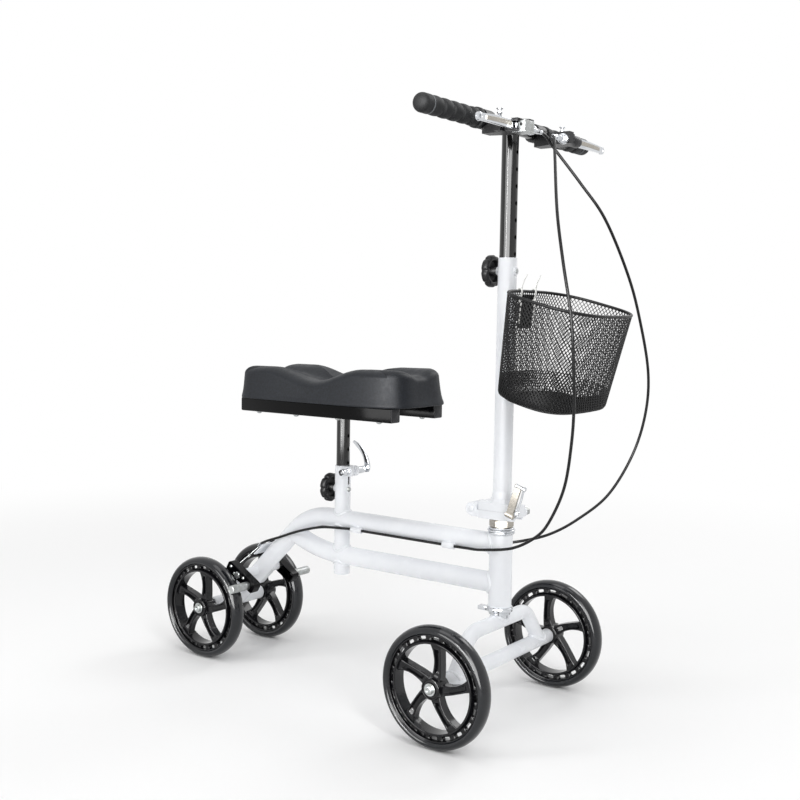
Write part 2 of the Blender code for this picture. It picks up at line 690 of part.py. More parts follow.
bracket = part("brake_bracket", blocks("brake_bracket", BRACKET_PLATE, [facing(plate_middle, DOWN_TUBE, Y_AXIS)]),
               WHITE_PAINT, frame)
slot_side = (BRACKET_PLATE[1] / 2 + MAIN_TUBE_RADIUS) / 2
cut(bracket, blocks("bracket_slots", (*BRACKET_SLOT, 0.01),
                    [facing(plate_middle + Y_AXIS * side * slot_side, DOWN_TUBE, Y_AXIS) for _, side in SIDES]))

part("head_tube", ring("head_tube", HEAD_TUBE_RADIUS, STEERER_RADIUS + RUNNING_GAP, HEAD_TUBE_BOTTOM,
                       HEAD_TUBE_TOP, (FRONT_AXLE_X, 0, 0), Z_AXIS), WHITE_PAINT, frame)

# Seat tube with its clamp ears, slot and knob boss
seat_tube = part("seat_tube", rod("seat_tube", SEAT_TUBE_RADIUS, (SEAT_X, 0, SEAT_TUBE_BOTTOM),
                                  (SEAT_X, 0, SEAT_TUBE_TOP)), WHITE_PAINT, frame)
ear_middle = SEAT_X + (SEAT_BORE + EAR_REACH) / 2
boss_x = SEAT_X - SEAT_TUBE_RADIUS
join(seat_tube,
     plate("clamp_ears", rounded_outline((EAR_REACH - SEAT_BORE) / 2, EAR_HEIGHT / 2, EAR_HEIGHT * 0.42),
           2 * EAR_OUTER, facing((ear_middle, 0, SKEWER_HEIGHT), X_AXIS, Z_AXIS)),
     rod("seat_knob_boss", KNOB_BOSS_RADIUS, (boss_x - KNOB_BOSS_STANDS, 0, SEAT_KNOB_HEIGHT),
         (boss_x + SEAT_TUBE_WALL, 0, SEAT_KNOB_HEIGHT), 16))
cut(seat_tube,
    rod("seat_bore", SEAT_BORE, (SEAT_X, 0, SEAT_TUBE_BOTTOM - 0.01), (SEAT_X, 0, SEAT_TUBE_TOP + 0.01)),
    block("ear_slot", (SEAT_X, -EAR_INNER, SEAT_TUBE_TOP - SEAT_SLOT_LENGTH),
          (SEAT_X + EAR_REACH + 0.01, EAR_INNER, SEAT_TUBE_TOP + 0.01)),
    rod("ear_holes", SKEWER_RADIUS + GAP, (SKEWER_X, -EAR_OUTER - 0.01, SKEWER_HEIGHT),
        (SKEWER_X, EAR_OUTER + 0.01, SKEWER_HEIGHT), 8),
    rod("seat_knob_hole", KNOB_BOLT_RADIUS + GAP, (boss_x - 0.01, 0, SEAT_KNOB_HEIGHT),
        (SEAT_X, 0, SEAT_KNOB_HEIGHT), 8))

# Headset
lower_cup = part("headset_lower_cup",
                 ring("headset_lower_cup", LOWER_CUP_RADIUS, STEERER_RADIUS + RUNNING_GAP, LOWER_CUP_BOTTOM,
                      HEAD_TUBE_BOTTOM - GAP, (FRONT_AXLE_X, 0, 0), Z_AXIS), CHROME, frame)
stop_x = FRONT_AXLE_X - LOWER_CUP_RADIUS + 0.003
stop_z = LOWER_CUP_BOTTOM + 0.002
join(lower_cup, block("steering_stop", (stop_x - STEERING_STOP[0], -STEERING_STOP[1] / 2, stop_z),
                      (stop_x, STEERING_STOP[1] / 2, stop_z + STEERING_STOP[2])))
cup_bottom = HEAD_TUBE_TOP + GAP
cup_waist = UPPER_CUP_RADIUS - 0.0025
part("headset_upper_cup",
     turned("headset_upper_cup",
            [(UPPER_CUP_RADIUS - 0.001, CUP_TOP), (UPPER_CUP_RADIUS, CUP_TOP - 0.001),
             (UPPER_CUP_RADIUS, CUP_TOP - 0.004), (cup_waist, cup_bottom + 0.003), (cup_waist, cup_bottom),
             (STEERER_RADIUS + RUNNING_GAP, cup_bottom), (STEERER_RADIUS + RUNNING_GAP, CUP_TOP)],
            (FRONT_AXLE_X, 0, 0), Z_AXIS), CHROME, frame)


# Axles: a rod with spacers inside the hubs, washers and bolt heads outside them
def axle(name, x, tube_end, track, body):
    hub_in = track / 2 - HUB_WIDTH / 2 - GAP
    hub_out = track / 2 + HUB_WIDTH / 2 + GAP
    washer_out = hub_out + WASHER_THICKNESS
    head_out = washer_out + BOLT_HEAD_HEIGHT
    half = [(0, head_out), (BOLT_HEAD_RADIUS, head_out), (BOLT_HEAD_RADIUS, washer_out),
            (WASHER_RADIUS, washer_out), (WASHER_RADIUS, hub_out), (AXLE_RADIUS, hub_out), (AXLE_RADIUS, hub_in),
            (AXLE_SPACER_RADIUS, hub_in), (AXLE_SPACER_RADIUS, tube_end + GAP), (AXLE_RADIUS, tube_end + GAP)]
    profile = half + [(radius, -height) for radius, height in reversed(half)]
    part(name, turned(name, profile, (x, 0, WHEEL_RADIUS), Y_AXIS, 12), ZINC, body)


axle("rear_axle", REAR_AXLE_X, REAR_TUBE_END, REAR_TRACK, frame)

# Pivot bolt of the brake arms
bolt_end = BRAKE_ARM_OUTER + GAP
pivot_bolt = part("brake_pivot_bolt", rod("brake_pivot_bolt", BRAKE_PIVOT_RADIUS,
                                          BRAKE_PIVOT - Y_AXIS * (bolt_end + 0.005),
                                          BRAKE_PIVOT + Y_AXIS * (bolt_end + 0.005), 12), ZINC, frame)
for side_name, side in SIDES:
    join(pivot_bolt, rod("pivot_head_" + side_name, BRAKE_PIVOT_RADIUS * 1.7, BRAKE_PIVOT + Y_AXIS * side * bolt_end,
                         BRAKE_PIVOT + Y_AXIS * side * (bolt_end + 0.004), 6))

# Seat clamp skewer with its nut and barrel
barrel_start = EAR_OUTER + GAP
barrel_end = barrel_start + SKEWER_BARREL_LENGTH
nut_end = barrel_start + SKEWER_NUT_LENGTH
skewer = part("seat_clamp_skewer",
              rod("seat_clamp_skewer", SKEWER_RADIUS, (SKEWER_X, -nut_end - 0.002, SKEWER_HEIGHT),
                  (SKEWER_X, barrel_start + 0.002, SKEWER_HEIGHT), 8), ZINC, frame)
join(skewer,
     rod("skewer_nut", SKEWER_BARREL_RADIUS, (SKEWER_X, -nut_end, SKEWER_HEIGHT),
         (SKEWER_X, -barrel_start, SKEWER_HEIGHT), 16),
     rod("skewer_barrel", SKEWER_BARREL_RADIUS, (SKEWER_X, barrel_start, SKEWER_HEIGHT),
         (SKEWER_X, barrel_end, SKEWER_HEIGHT), 16))

# Seat clamp lever: a cam drum with a curved blade that rises beside the seat post. The blade's foot stays
# within the drum, so that it clears the barrel as the lever swings.
blade_outline = [(-0.006, -0.005), (0.004, -0.005), (0.0105, -0.001), (0.0115, 0.008), (0.007, 0.021),
                 (-0.003, 0.036), (-0.0155, 0.047), (-0.027, 0.053), (-0.030, 0.049), (-0.023, 0.043),
                 (-0.013, 0.034), (-0.005, 0.023), (0.000, 0.012), (0.000, 0.006), (-0.006, 0.005)]
blade = plate("seat_quick_release_lever", blade_outline, SEAT_LEVER_THICKNESS,
              facing((SKEWER_X, SEAT_LEVER_Y, SKEWER_HEIGHT), X_AXIS, Z_AXIS))
join(part("seat_quick_release_lever", blade, CHROME, seat_lever),
     rod("seat_cam", SEAT_CAM_RADIUS, (SKEWER_X - SEAT_CAM_LENGTH / 2, SEAT_LEVER_Y, SKEWER_HEIGHT),
         (SKEWER_X + SEAT_CAM_LENGTH / 2, SEAT_LEVER_Y, SKEWER_HEIGHT), 16))


# Knobs: a lobed head with a bolt that ends at the inner tube
def knob(name, front, bolt_x, z, body):
    def lobed(x, scale):
        points = []
        for step in range(KNOB_LOBES * 4):
            angle = -2 * pi * step / (KNOB_LOBES * 4)
            radius = scale * (KNOB_RADIUS - KNOB_LOBE_DEPTH * (1 - cos(KNOB_LOBES * angle)) / 2)
            points.append((x, radius * cos(angle), z + radius * sin(angle)))
        return points

    back = front - KNOB_THICKNESS
    slim = 1 - KNOB_CHAMFER / KNOB_RADIUS
    head = loft(name, [lobed(back, slim), lobed(back + KNOB_CHAMFER, 1), lobed(front - KNOB_CHAMFER, 1),
                       lobed(front, slim)])
    part(name, head, BLACK_PLASTIC, body)
    join(head, rod(name + "_bolt", KNOB_BOLT_RADIUS, (front - 0.003, 0, z), (bolt_x, 0, z), 8))
    cut(head, rod(name + "_recess", KNOB_RADIUS * 0.5, (back - 0.01, 0, z), (back + 0.0025, 0, z), 12))


knob("seat_knob", boss_x - KNOB_BOSS_STANDS - GAP, SEAT_X - SEAT_POST_RADIUS - GAP, SEAT_KNOB_HEIGHT, seat_knob)
column_boss_x = FRONT_AXLE_X - COLUMN_RADIUS - KNOB_BOSS_STANDS
knob("column_knob", column_boss_x - GAP, FRONT_AXLE_X - STEM_RADIUS - GAP, COLUMN_KNOB_HEIGHT, column_knob)

# Seat post: a drilled tube under a cross plate whose flanges hold the two rails
cross_bottom = RAIL_TOP - CROSS_PLATE_THICKNESS
cross_half = CROSS_PLATE_LENGTH / 2
flange_y = RAIL_INNER - GAP
post = part("seat_post", rod("seat_post", SEAT_POST_RADIUS, (SEAT_X, 0, POST_BOTTOM),
                             (SEAT_X, 0, cross_bottom + 0.001)), BLACK_PAINT, seat)
join(post, block("cross_plate", (SEAT_X - cross_half, -flange_y, cross_bottom),
                 (SEAT_X + cross_half, flange_y, RAIL_TOP)))
for side_name, side in SIDES:
    y_low, y_high = sorted((side * flange_y, side * (flange_y - CROSS_FLANGE_THICKNESS)))
    join(post, block("cross_flange_" + side_name, (SEAT_X - cross_half, y_low, RAIL_TOP - RAIL_SIZE),
                     (SEAT_X + cross_half, y_high, RAIL_TOP - 0.001)))
post_holes = []
for place in range(-POST_HOLES_BELOW, POST_HOLES_ABOVE + 1):
    z = SEAT_KNOB_HEIGHT + place * POST_HOLE_PITCH
    post_holes.append(((SEAT_X - 0.02, 0, z), (SEAT_X + 0.02, 0, z)))
cut(post, rods("post_holes", HOLE_RADIUS, post_holes, 6))

for side_name, side in SIDES:
    y_low, y_high = sorted((side * RAIL_INNER, side * (RAIL_INNER + RAIL_SIZE)))
    part("pad_rail_" + side_name,
         block("pad_rail_" + side_name, (REAR_AXLE_X + RAIL_REAR, y_low, RAIL_TOP - RAIL_SIZE),
               (REAR_AXLE_X + RAIL_FRONT, y_high, RAIL_TOP), RAIL_CHAMFER), BLACK_PAINT, seat)


# Knee pad: four lobes round a cross dip and a lengthwise groove
def pad_height(u, v):
    rising = min(1.0, abs(u - PAD_DIP_PLACE) / PAD_DIP_REACH)
    middle = (PAD_LOBE_HEIGHT + PAD_DIP_HEIGHT) / 2
    swell = (PAD_LOBE_HEIGHT - PAD_DIP_HEIGHT) / 2
    groove = PAD_GROOVE_DEPTH * (0.35 + 0.65 * rising) / (1 + (v / PAD_GROOVE_WIDTH) ** 4)
    return middle - swell * cos(pi * rising) + PAD_FRONT_RISE * u - groove


def pad_point(u, v, slim):
    # The square (u, v) is drawn in to the pad's rounded outline.
    share = 1.0
    if u or v:
        p = PAD_SQUARENESS
        share = max(abs(u), abs(v)) / (abs(u) ** p + abs(v) ** p) ** (1 / p)
    return (REAR_AXLE_X + PAD_MIDDLE + (PAD_LENGTH / 2 - slim) * u * share, (PAD_WIDTH / 2 - slim) * v * share)


def knee_pad(long_steps=18, cross_steps=12):
    bottom = RAIL_TOP + GAP
    bm = bmesh.new()
    top, spots = {}, {}
    for i in range(long_steps + 1):
        for j in range(cross_steps + 1):
            u = sin(pi / 2 * (2 * i / long_steps - 1))
            v = sin(pi / 2 * (2 * j / cross_steps - 1))
            x, y = pad_point(u, v, PAD_DRAFT)
            edge = max(0.0, (max(abs(u), abs(v)) - 0.80) / 0.20)
            fall = PAD_EDGE_ROUND * (1 - (1 - min(1.0, edge * edge)) ** 0.5)
            top[i, j] = bm.verts.new((x, y, bottom + pad_height(u, v) - fall))
            spots[i, j] = (u, v)
    for i in range(long_steps):
        for j in range(cross_steps):
            bm.faces.new((top[i, j], top[i + 1, j], top[i + 1, j + 1], top[i, j + 1]))
    border = [(i, 0) for i in range(long_steps)] + [(long_steps, j) for j in range(cross_steps)]
    border += [(i, cross_steps) for i in range(long_steps, 0, -1)] + [(0, j) for j in range(cross_steps, 0, -1)]
    above = [top[key] for key in border]
    for height_share, slim_share in ((0.30, 0.45), (0.07, 0.0), (0.0, 0.10)):
        below = []
        for key in border:
            x, y = pad_point(*spots[key], PAD_DRAFT * slim_share)
            height = (pad_height(*spots[key]) - PAD_EDGE_ROUND) * height_share
            below.append(bm.verts.new((x, y, bottom + height)))
        for index in range(len(above)):
            after = (index + 1) % len(above)
            bm.faces.new((above[index], below[index], below[after], above[after]))
        above = below
    bm.faces.new(above[::-1])
    return mesh_object("knee_pad", bm, 50.0)


part("knee_pad", knee_pad(), BLACK_FOAM, seat)

# Fork: an arched tube on a cross tube, turned by the steerer
arch_route = rounded([(FRONT_AXLE_X, -FORK_FOOT, WHEEL_RADIUS), (FRONT_AXLE_X, -FORK_SHOULDER, FORK_ARCH_HEIGHT),
                      (FRONT_AXLE_X, FORK_SHOULDER, FORK_ARCH_HEIGHT), (FRONT_AXLE_X, FORK_FOOT, WHEEL_RADIUS)],
                     FORK_BEND_RADIUS, 4)
fork_arch = part("fork_arch", tube("fork_arch", arch_route, FORK_TUBE_RADIUS, 16), WHITE_PAINT, steering)
cut(fork_arch, rod("fork_arch_cope", FORK_TUBE_RADIUS + GAP, (FRONT_AXLE_X, -FORK_FOOT - 0.05, WHEEL_RADIUS),
                   (FRONT_AXLE_X, FORK_FOOT + 0.05, WHEEL_RADIUS)))
part("front_axle_tube", ring("front_axle_tube", FORK_TUBE_RADIUS, AXLE_RADIUS + GAP, -FRONT_TUBE_END,
                             FRONT_TUBE_END, (FRONT_AXLE_X, 0, WHEEL_RADIUS), Y_AXIS, 16), WHITE_PAINT, steering)
axle("front_axle", FRONT_AXLE_X, FRONT_TUBE_END, FRONT_TRACK, steering)
steerer = part("steerer_tube", rod("steerer_tube", STEERER_RADIUS, (FRONT_AXLE_X, 0, FORK_ARCH_HEIGHT + 0.004),
                                   (FRONT_AXLE_X, 0, NUT_TOP), 20), ZINC, steering)
cut(steerer, rod("steerer_cope", FORK_TUBE_RADIUS + GAP, (FRONT_AXLE_X, -0.03, FORK_ARCH_HEIGHT),
                 (FRONT_AXLE_X, 0.03, FORK_ARCH_HEIGHT)))
flange_top = NUT_BOTTOM + LOCK_NUT_FLANGE_HEIGHT
lock_nut = part("headset_lock_nut", rod("headset_lock_nut", LOCK_NUT_RADIUS, (FRONT_AXLE_X, 0, flange_top - 0.001),
                                        (FRONT_AXLE_X, 0, NUT_TOP), 6), CHROME, steering)
join(lock_nut, rod("lock_nut_flange", LOCK_NUT_FLANGE_RADIUS, (FRONT_AXLE_X, 0, NUT_BOTTOM),
                   (FRONT_AXLE_X, 0, flange_top), 20))
cut(lock_nut, rod("lock_nut_bore", STEERER_RADIUS + GAP, (FRONT_AXLE_X, 0, NUT_BOTTOM - 0.01),
                  (FRONT_AXLE_X, 0, NUT_TOP + 0.01), 20))

# Fold joint: the base and the head meet face to face, hinged behind and clamped in front
plate_start = FOLD_HINGE_X + FOLD_KNUCKLE_RADIUS + FOLD_KNUCKLE_CLEARANCE
plate_end = FRONT_AXLE_X + FOLD_PLATE_REACH
hinge = Vector((FOLD_HINGE_X, 0, FOLD_HINGE_Z))
knuckle_inner = FOLD_TONGUE_HALF_WIDTH + RUNNING_GAP
lug_inner = FOLD_LUG_HALF_WIDTH - FOLD_LUG_THICKNESS


def fold_plate(name, bottom, top):
    outline = rounded_outline((plate_end - plate_start) / 2, FOLD_HALF_WIDTH, 0.004, 2)
    return plate(name, outline, top - bottom,
                 Matrix.Translation(((plate_start + plate_end) / 2, 0, (bottom + top) / 2)))


def side_pair(name, low, high):
    # The same box on both sides: its y runs from low to high on the left.
    size = Vector(high) - Vector(low)
    middle = (Vector(high) + Vector(low)) / 2
    return blocks(name, size, [Matrix.Translation((middle.x, side * middle.y, middle.z)) for _, side in SIDES])


fold_base = part("fold_base", fold_plate("fold_base", FOLD_BASE_BOTTOM, FOLD_BASE_TOP), WHITE_PAINT, steering)
join(fold_base,
     rods("base_knuckles", FOLD_KNUCKLE_RADIUS,
          [(hinge + Y_AXIS * side * knuckle_inner, hinge + Y_AXIS * side * FOLD_HALF_WIDTH) for _, side in SIDES], 12),
     side_pair("base_knuckle_roots", (FOLD_HINGE_X, knuckle_inner, FOLD_BASE_BOTTOM + 0.0015),
               (plate_start + 0.006, FOLD_HALF_WIDTH - 0.0004, FOLD_BASE_TOP - 0.0004)),
     rod("hinge_pin", FOLD_PIN_RADIUS, hinge - Y_AXIS * (FOLD_HALF_WIDTH + 0.0015),
         hinge + Y_AXIS * (FOLD_HALF_WIDTH + 0.0015), 10),
     side_pair("base_lug_roots", (plate_end - 0.005, lug_inner, FOLD_BASE_BOTTOM + 0.0005),
               (FOLD_SKEWER_X, FOLD_LUG_HALF_WIDTH - 0.0004, FOLD_BASE_TOP - 0.001)),
     rods("base_lugs", FOLD_LUG_RADIUS,
          [((FOLD_SKEWER_X, side * (lug_inner + 0.0002), FOLD_SKEWER_Z),
            (FOLD_SKEWER_X, side * FOLD_LUG_HALF_WIDTH, FOLD_SKEWER_Z)) for _, side in SIDES], 12))
cut(fold_base, rod("base_skewer_hole", FOLD_SKEWER_RADIUS + GAP, (FOLD_SKEWER_X, -0.03, FOLD_SKEWER_Z),
                   (FOLD_SKEWER_X, 0.03, FOLD_SKEWER_Z), 12))

fold_head = part("fold_head", fold_plate("fold_head", FOLD_HEAD_BOTTOM, FOLD_HEAD_TOP), WHITE_PAINT, column)
tongue_half = lug_inner - RUNNING_GAP
tongue_start = plate_end + FOLD_NOSE_CLEARANCE
tongue_bottom = FOLD_SKEWER_Z - FOLD_LUG_RADIUS + 0.002
join(fold_head,
     rod("head_collar", FOLD_COLLAR_RADIUS, (FRONT_AXLE_X, 0, FOLD_HEAD_TOP - 0.002),
         (FRONT_AXLE_X, 0, FOLD_HEAD_TOP + FOLD_COLLAR_HEIGHT), 20),
     rod("head_knuckle", FOLD_KNUCKLE_RADIUS, hinge - Y_AXIS * FOLD_TONGUE_HALF_WIDTH,
         hinge + Y_AXIS * FOLD_TONGUE_HALF_WIDTH, 12),
     block("head_knuckle_root", (FOLD_HINGE_X, -FOLD_TONGUE_HALF_WIDTH + 0.0004, FOLD_HEAD_BOTTOM + 0.0004),
           (plate_start + 0.006, FOLD_TONGUE_HALF_WIDTH - 0.0004, FOLD_HINGE_Z + FOLD_KNUCKLE_RADIUS)),
     block("head_tongue", (tongue_start, -tongue_half, tongue_bottom),
           (FOLD_SKEWER_X + FOLD_LUG_RADIUS, tongue_half, FOLD_HEAD_TOP - 0.001)),
     block("head_tongue_root", (plate_end - 0.006, -tongue_half, FOLD_HEAD_BOTTOM + 0.001),
           (FOLD_SKEWER_X, tongue_half, FOLD_HEAD_TOP - 0.001)))
skewer_slack = FOLD_SKEWER_RADIUS + 0.001
cut(fold_head,
    rod("head_pin_hole", FOLD_PIN_RADIUS + GAP, hinge - Y_AXIS * 0.03, hinge + Y_AXIS * 0.03, 12),
    rod("head_column_socket", COLUMN_RADIUS + GAP, (FRONT_AXLE_X, 0, FOLD_HEAD_TOP),
        (FRONT_AXLE_X, 0, FOLD_HEAD_TOP + FOLD_COLLAR_HEIGHT + 0.01), 20),
    block("head_skewer_slot", (FOLD_SKEWER_X - skewer_slack, -tongue_half - 0.01, tongue_bottom - 0.01),
          (FOLD_SKEWER_X + skewer_slack, tongue_half + 0.01, FOLD_SKEWER_Z + skewer_slack)))

nut_start = FOLD_LUG_HALF_WIDTH + GAP
fold_skewer = part("fold_skewer",
                   rod("fold_skewer", FOLD_SKEWER_RADIUS, (FOLD_SKEWER_X, -nut_start - 0.001, FOLD_SKEWER_Z),
                       (FOLD_SKEWER_X, nut_start + FOLD_NUT_LENGTH + 0.002, FOLD_SKEWER_Z), 12), ZINC, steering)
join(fold_skewer,
     rod("fold_washer", FOLD_LUG_RADIUS - 0.001, (FOLD_SKEWER_X, -nut_start - FOLD_WASHER, FOLD_SKEWER_Z),
         (FOLD_SKEWER_X, -nut_start, FOLD_SKEWER_Z), 16),
     rod("fold_nut", FOLD_LUG_RADIUS - 0.001, (FOLD_SKEWER_X, nut_start, FOLD_SKEWER_Z),
         (FOLD_SKEWER_X, nut_start + FOLD_NUT_LENGTH, FOLD_SKEWER_Z), 6))

# Fold lever: a cam drum with a flat handle that leans forward and curls at its end
lean = radians(FOLD_LEVER_LEAN_DEG)
rise = Vector((sin(lean), 0, cos(lean)))
drum = Vector((FOLD_SKEWER_X, FOLD_LEVER_Y, FOLD_SKEWER_Z))
drum_half = X_AXIS * FOLD_LEVER[0] / 2
handle_end = drum + rise * FOLD_LEVER[2]
lever = part("fold_lever", blocks("fold_lever", (FOLD_LEVER[2], FOLD_LEVER[1], FOLD_LEVER[0]),
                                  [facing(drum + rise * FOLD_LEVER[2] / 2, rise, Y_AXIS)], 0.001), ZINC, fold_lever)
join(lever,
     rod("fold_cam", FOLD_CAM_RADIUS, drum - drum_half, drum + drum_half, 16),
     rod("fold_lever_curl", 0.0035, handle_end - drum_half - Y_AXIS * 0.0012, handle_end + drum_half - Y_AXIS * 0.0012,
         12))

# Column tube with its knob boss, and the basket's bracket on its front
column_tube = part("column_tube", rod("column_tube", COLUMN_RADIUS, (FRONT_AXLE_X, 0, COLUMN_BOTTOM),
                                      (FRONT_AXLE_X, 0, COLUMN_TOP), 20), WHITE_PAINT, column)
join(column_tube, rod("column_knob_boss", KNOB_BOSS_RADIUS, (column_boss_x, 0, COLUMN_KNOB_HEIGHT),
                      (FRONT_AXLE_X - STEM_RADIUS, 0, COLUMN_KNOB_HEIGHT), 16))
cut(column_tube,
    rod("column_bore", STEM_RADIUS + COLUMN_BORE_GAP, (FRONT_AXLE_X, 0, COLUMN_BOTTOM - 0.01),
        (FRONT_AXLE_X, 0, COLUMN_TOP + 0.01), 20),
    rod("column_knob_hole", KNOB_BOLT_RADIUS + GAP, (column_boss_x - 0.01, 0, COLUMN_KNOB_HEIGHT),
        (FRONT_AXLE_X, 0, COLUMN_KNOB_HEIGHT), 8))

# Basket frame of reference: its rim is tilted forward
rim_middle = Vector((FRONT_AXLE_X + BASKET_REACH, 0, BASKET_RIM_HEIGHT))
basket_place = Matrix.Translation(rim_middle) @ Matrix.Rotation(BASKET_TILT, 4, "Y")


def basket_ring(half_sizes, shift, depth, inset=0.0, count=36):
    outline = superellipse(half_sizes[0] - inset, half_sizes[1] - inset, BASKET_SQUARENESS, count)
    return [basket_place @ Vector((x + shift, y, -depth)) for x, y in outline]


wall_top = BASKET_RIM_RADIUS + GAP
top_share = wall_top / BASKET_DEPTH
wall_sizes = [BASKET_TOP[k] + (BASKET_BOTTOM[k] - BASKET_TOP[k]) * top_share for k in (0, 1)]
wall_shift = BASKET_BOTTOM_SHIFT * top_share
floor = BASKET_DEPTH - BASKET_WALL
part("basket_mesh",
     loft("basket_mesh", [basket_ring(BASKET_BOTTOM, BASKET_BOTTOM_SHIFT, floor, BASKET_WALL),
                          basket_ring(wall_sizes, wall_shift, wall_top, BASKET_WALL),
                          basket_ring(wall_sizes, wall_shift, wall_top),
                          basket_ring(BASKET_BOTTOM, BASKET_BOTTOM_SHIFT, BASKET_DEPTH)]), BLACK_MESH, basket)
part("basket_rim", tube("basket_rim", basket_ring(BASKET_TOP, 0, 0, BASKET_WALL / 2), BASKET_RIM_RADIUS, 6, True),
     BLACK_MESH, basket)

# Hook plate behind the back wall, with a tongue that hangs in the column's bracket
back_top = basket_place @ Vector((-BASKET_TOP[0], 0, 0))
back_bottom = basket_place @ Vector((BASKET_BOTTOM_SHIFT - BASKET_BOTTOM[0], 0, -BASKET_DEPTH))
down_wall = (back_bottom - back_top).normalized()
off_wall = Vector((down_wall.z, 0, -down_wall.x))
plate_place = back_top + down_wall * (HOOK_BELOW_RIM + HOOK_PLATE[0] / 2) + off_wall * (GAP + HOOK_PLATE[2] / 2)
bracket_start = FRONT_AXLE_X + COLUMN_RADIUS + GAP
slot_start = bracket_start + BRACKET_REAR_WALL
tongue_x = slot_start + GAP
slot_end = tongue_x + HOOK_TONGUE[0] + GAP
bracket_end = slot_end + BRACKET_FRONT_WALL
bridge_top = plate_place.z + HOOK_PLATE[0] / 2 - 0.003
bridge_bottom = bridge_top - HOOK_BRIDGE_HEIGHT
bridge_end = (plate_place - down_wall * (HOOK_PLATE[0] / 2 - 0.003 - HOOK_BRIDGE_HEIGHT / 2)).x
bracket_top = bridge_bottom - GAP
hook = part("basket_hook_plate", blocks("basket_hook_plate", HOOK_PLATE, [facing(plate_place, down_wall, Y_AXIS)]),
            BLACK_MESH, basket)
join(hook,
     block("hook_bridge", (tongue_x, -HOOK_TONGUE[1] / 2, bridge_bottom), (bridge_end, HOOK_TONGUE[1] / 2, bridge_top)),
     block("hook_tongue", (tongue_x, -HOOK_TONGUE[1] / 2 + 0.0004, bridge_top - HOOK_TONGUE[2]),
           (tongue_x + HOOK_TONGUE[0], HOOK_TONGUE[1] / 2 - 0.0004, bridge_top - 0.0004)))
bracket = part("basket_bracket",
               block("basket_bracket", (FRONT_AXLE_X + COLUMN_RADIUS / 2, -BRACKET_HALF_WIDTH, bracket_top - BRACKET_HEIGHT),
                     (bracket_end, BRACKET_HALF_WIDTH, bracket_top)), WHITE_PAINT, column)
cut(bracket,
    rod("bracket_cope", COLUMN_RADIUS + GAP, (FRONT_AXLE_X, 0, COLUMN_BOTTOM), (FRONT_AXLE_X, 0, COLUMN_TOP), 20),
    block("bracket_slot", (slot_start, -HOOK_TONGUE[1] / 2 - GAP, bracket_top - BRACKET_HEIGHT - 0.01),
          (slot_end, HOOK_TONGUE[1] / 2 + GAP, bracket_top + 0.01)))

# Handlebar: a drilled stem that slides in the column, and the cross bar
stem_top = BAR_HEIGHT - 0.002
stem = part("handlebar_stem", rod("handlebar_stem", STEM_RADIUS, (FRONT_AXLE_X, 0, STEM_BOTTOM),
                                  (FRONT_AXLE_X, 0, stem_top)), BLACK_PAINT, handlebar)
stem_holes = []
for place in range(STEM_HOLES):
    z = COLUMN_KNOB_HEIGHT + (place - 1) * STEM_HOLE_PITCH
    stem_holes.append(((FRONT_AXLE_X - 0.02, 0, z), (FRONT_AXLE_X + 0.02, 0, z)))
bar_middle = Vector((FRONT_AXLE_X, 0, BAR_HEIGHT))
cut(stem,
    rod("stem_bar_cope", BAR_RADIUS + GAP, bar_middle - Y_AXIS * 0.05, bar_middle + Y_AXIS * 0.05),
    rods("stem_holes", HOLE_RADIUS, stem_holes, 6))
part("handlebar_bar", rod("handlebar_bar", BAR_RADIUS, bar_middle - Y_AXIS * BAR_HALF_LENGTH,
                          bar_middle + Y_AXIS * BAR_HALF_LENGTH, 16), BLACK_PAINT, handlebar)


def grip_profile():
    end = BAR_HALF_LENGTH + GRIP_END
    ridges_end = end - GRIP_CAP_LENGTH
    profile = [(0, end), (GRIP_RADIUS * 0.55, end - 0.0008), (GRIP_RADIUS * 0.85, end - 0.004),
               (GRIP_RADIUS, end - 0.010)]
    for ridge in range(GRIP_RIDGES):
        for share in (0.0, 0.5):
            radius = GRIP_RADIUS - GRIP_RIDGE_DEPTH * sin(pi * share)
            profile.append((radius, ridges_end - (ridge + share) * GRIP_RIDGE_PITCH))
    profile.append((GRIP_RADIUS, ridges_end - GRIP_RIDGES * GRIP_RIDGE_PITCH))
    bore = BAR_RADIUS + GAP
    return profile + [(GRIP_RADIUS, GRIP_INNER), (bore, GRIP_INNER), (bore, BAR_HALF_LENGTH + GAP),
                      (0, BAR_HALF_LENGTH + GAP)]


# Brake lever clamp: a ring on the bar with an arm that holds the lever, the lock pin and the cable
body_bottom = BAR_HEIGHT - LEVER_DROP - CLAMP_BODY_HEIGHT / 2
body_top = body_bottom + CLAMP_BODY_HEIGHT
nose_end = BARREL_REACH + BARREL_RADIUS
pocket_inner = LEVER_PIVOT_Y - LEVER_ROOT_RADIUS - RUNNING_GAP
arm_outline = [(0.004, CLAMP_INNER), (0.040, CLAMP_BODY_INNER), (nose_end, CLAMP_BODY_INNER),
               (nose_end, pocket_inner - 0.001), (LEVER_REACH + 0.010, pocket_inner + 0.004),
               (LEVER_REACH + 0.010, CLAMP_OUTER), (LOCK_PIN_REACH + 0.0055, CLAMP_OUTER),
               (LOCK_PIN_REACH + 0.0055, LOCK_PIN_Y + 0.0065), (LOCK_PIN_REACH - 0.0065, LOCK_PIN_Y + 0.0065),
               (LOCK_PIN_REACH - 0.0065, CLAMP_OUTER), (0.004, CLAMP_OUTER)]


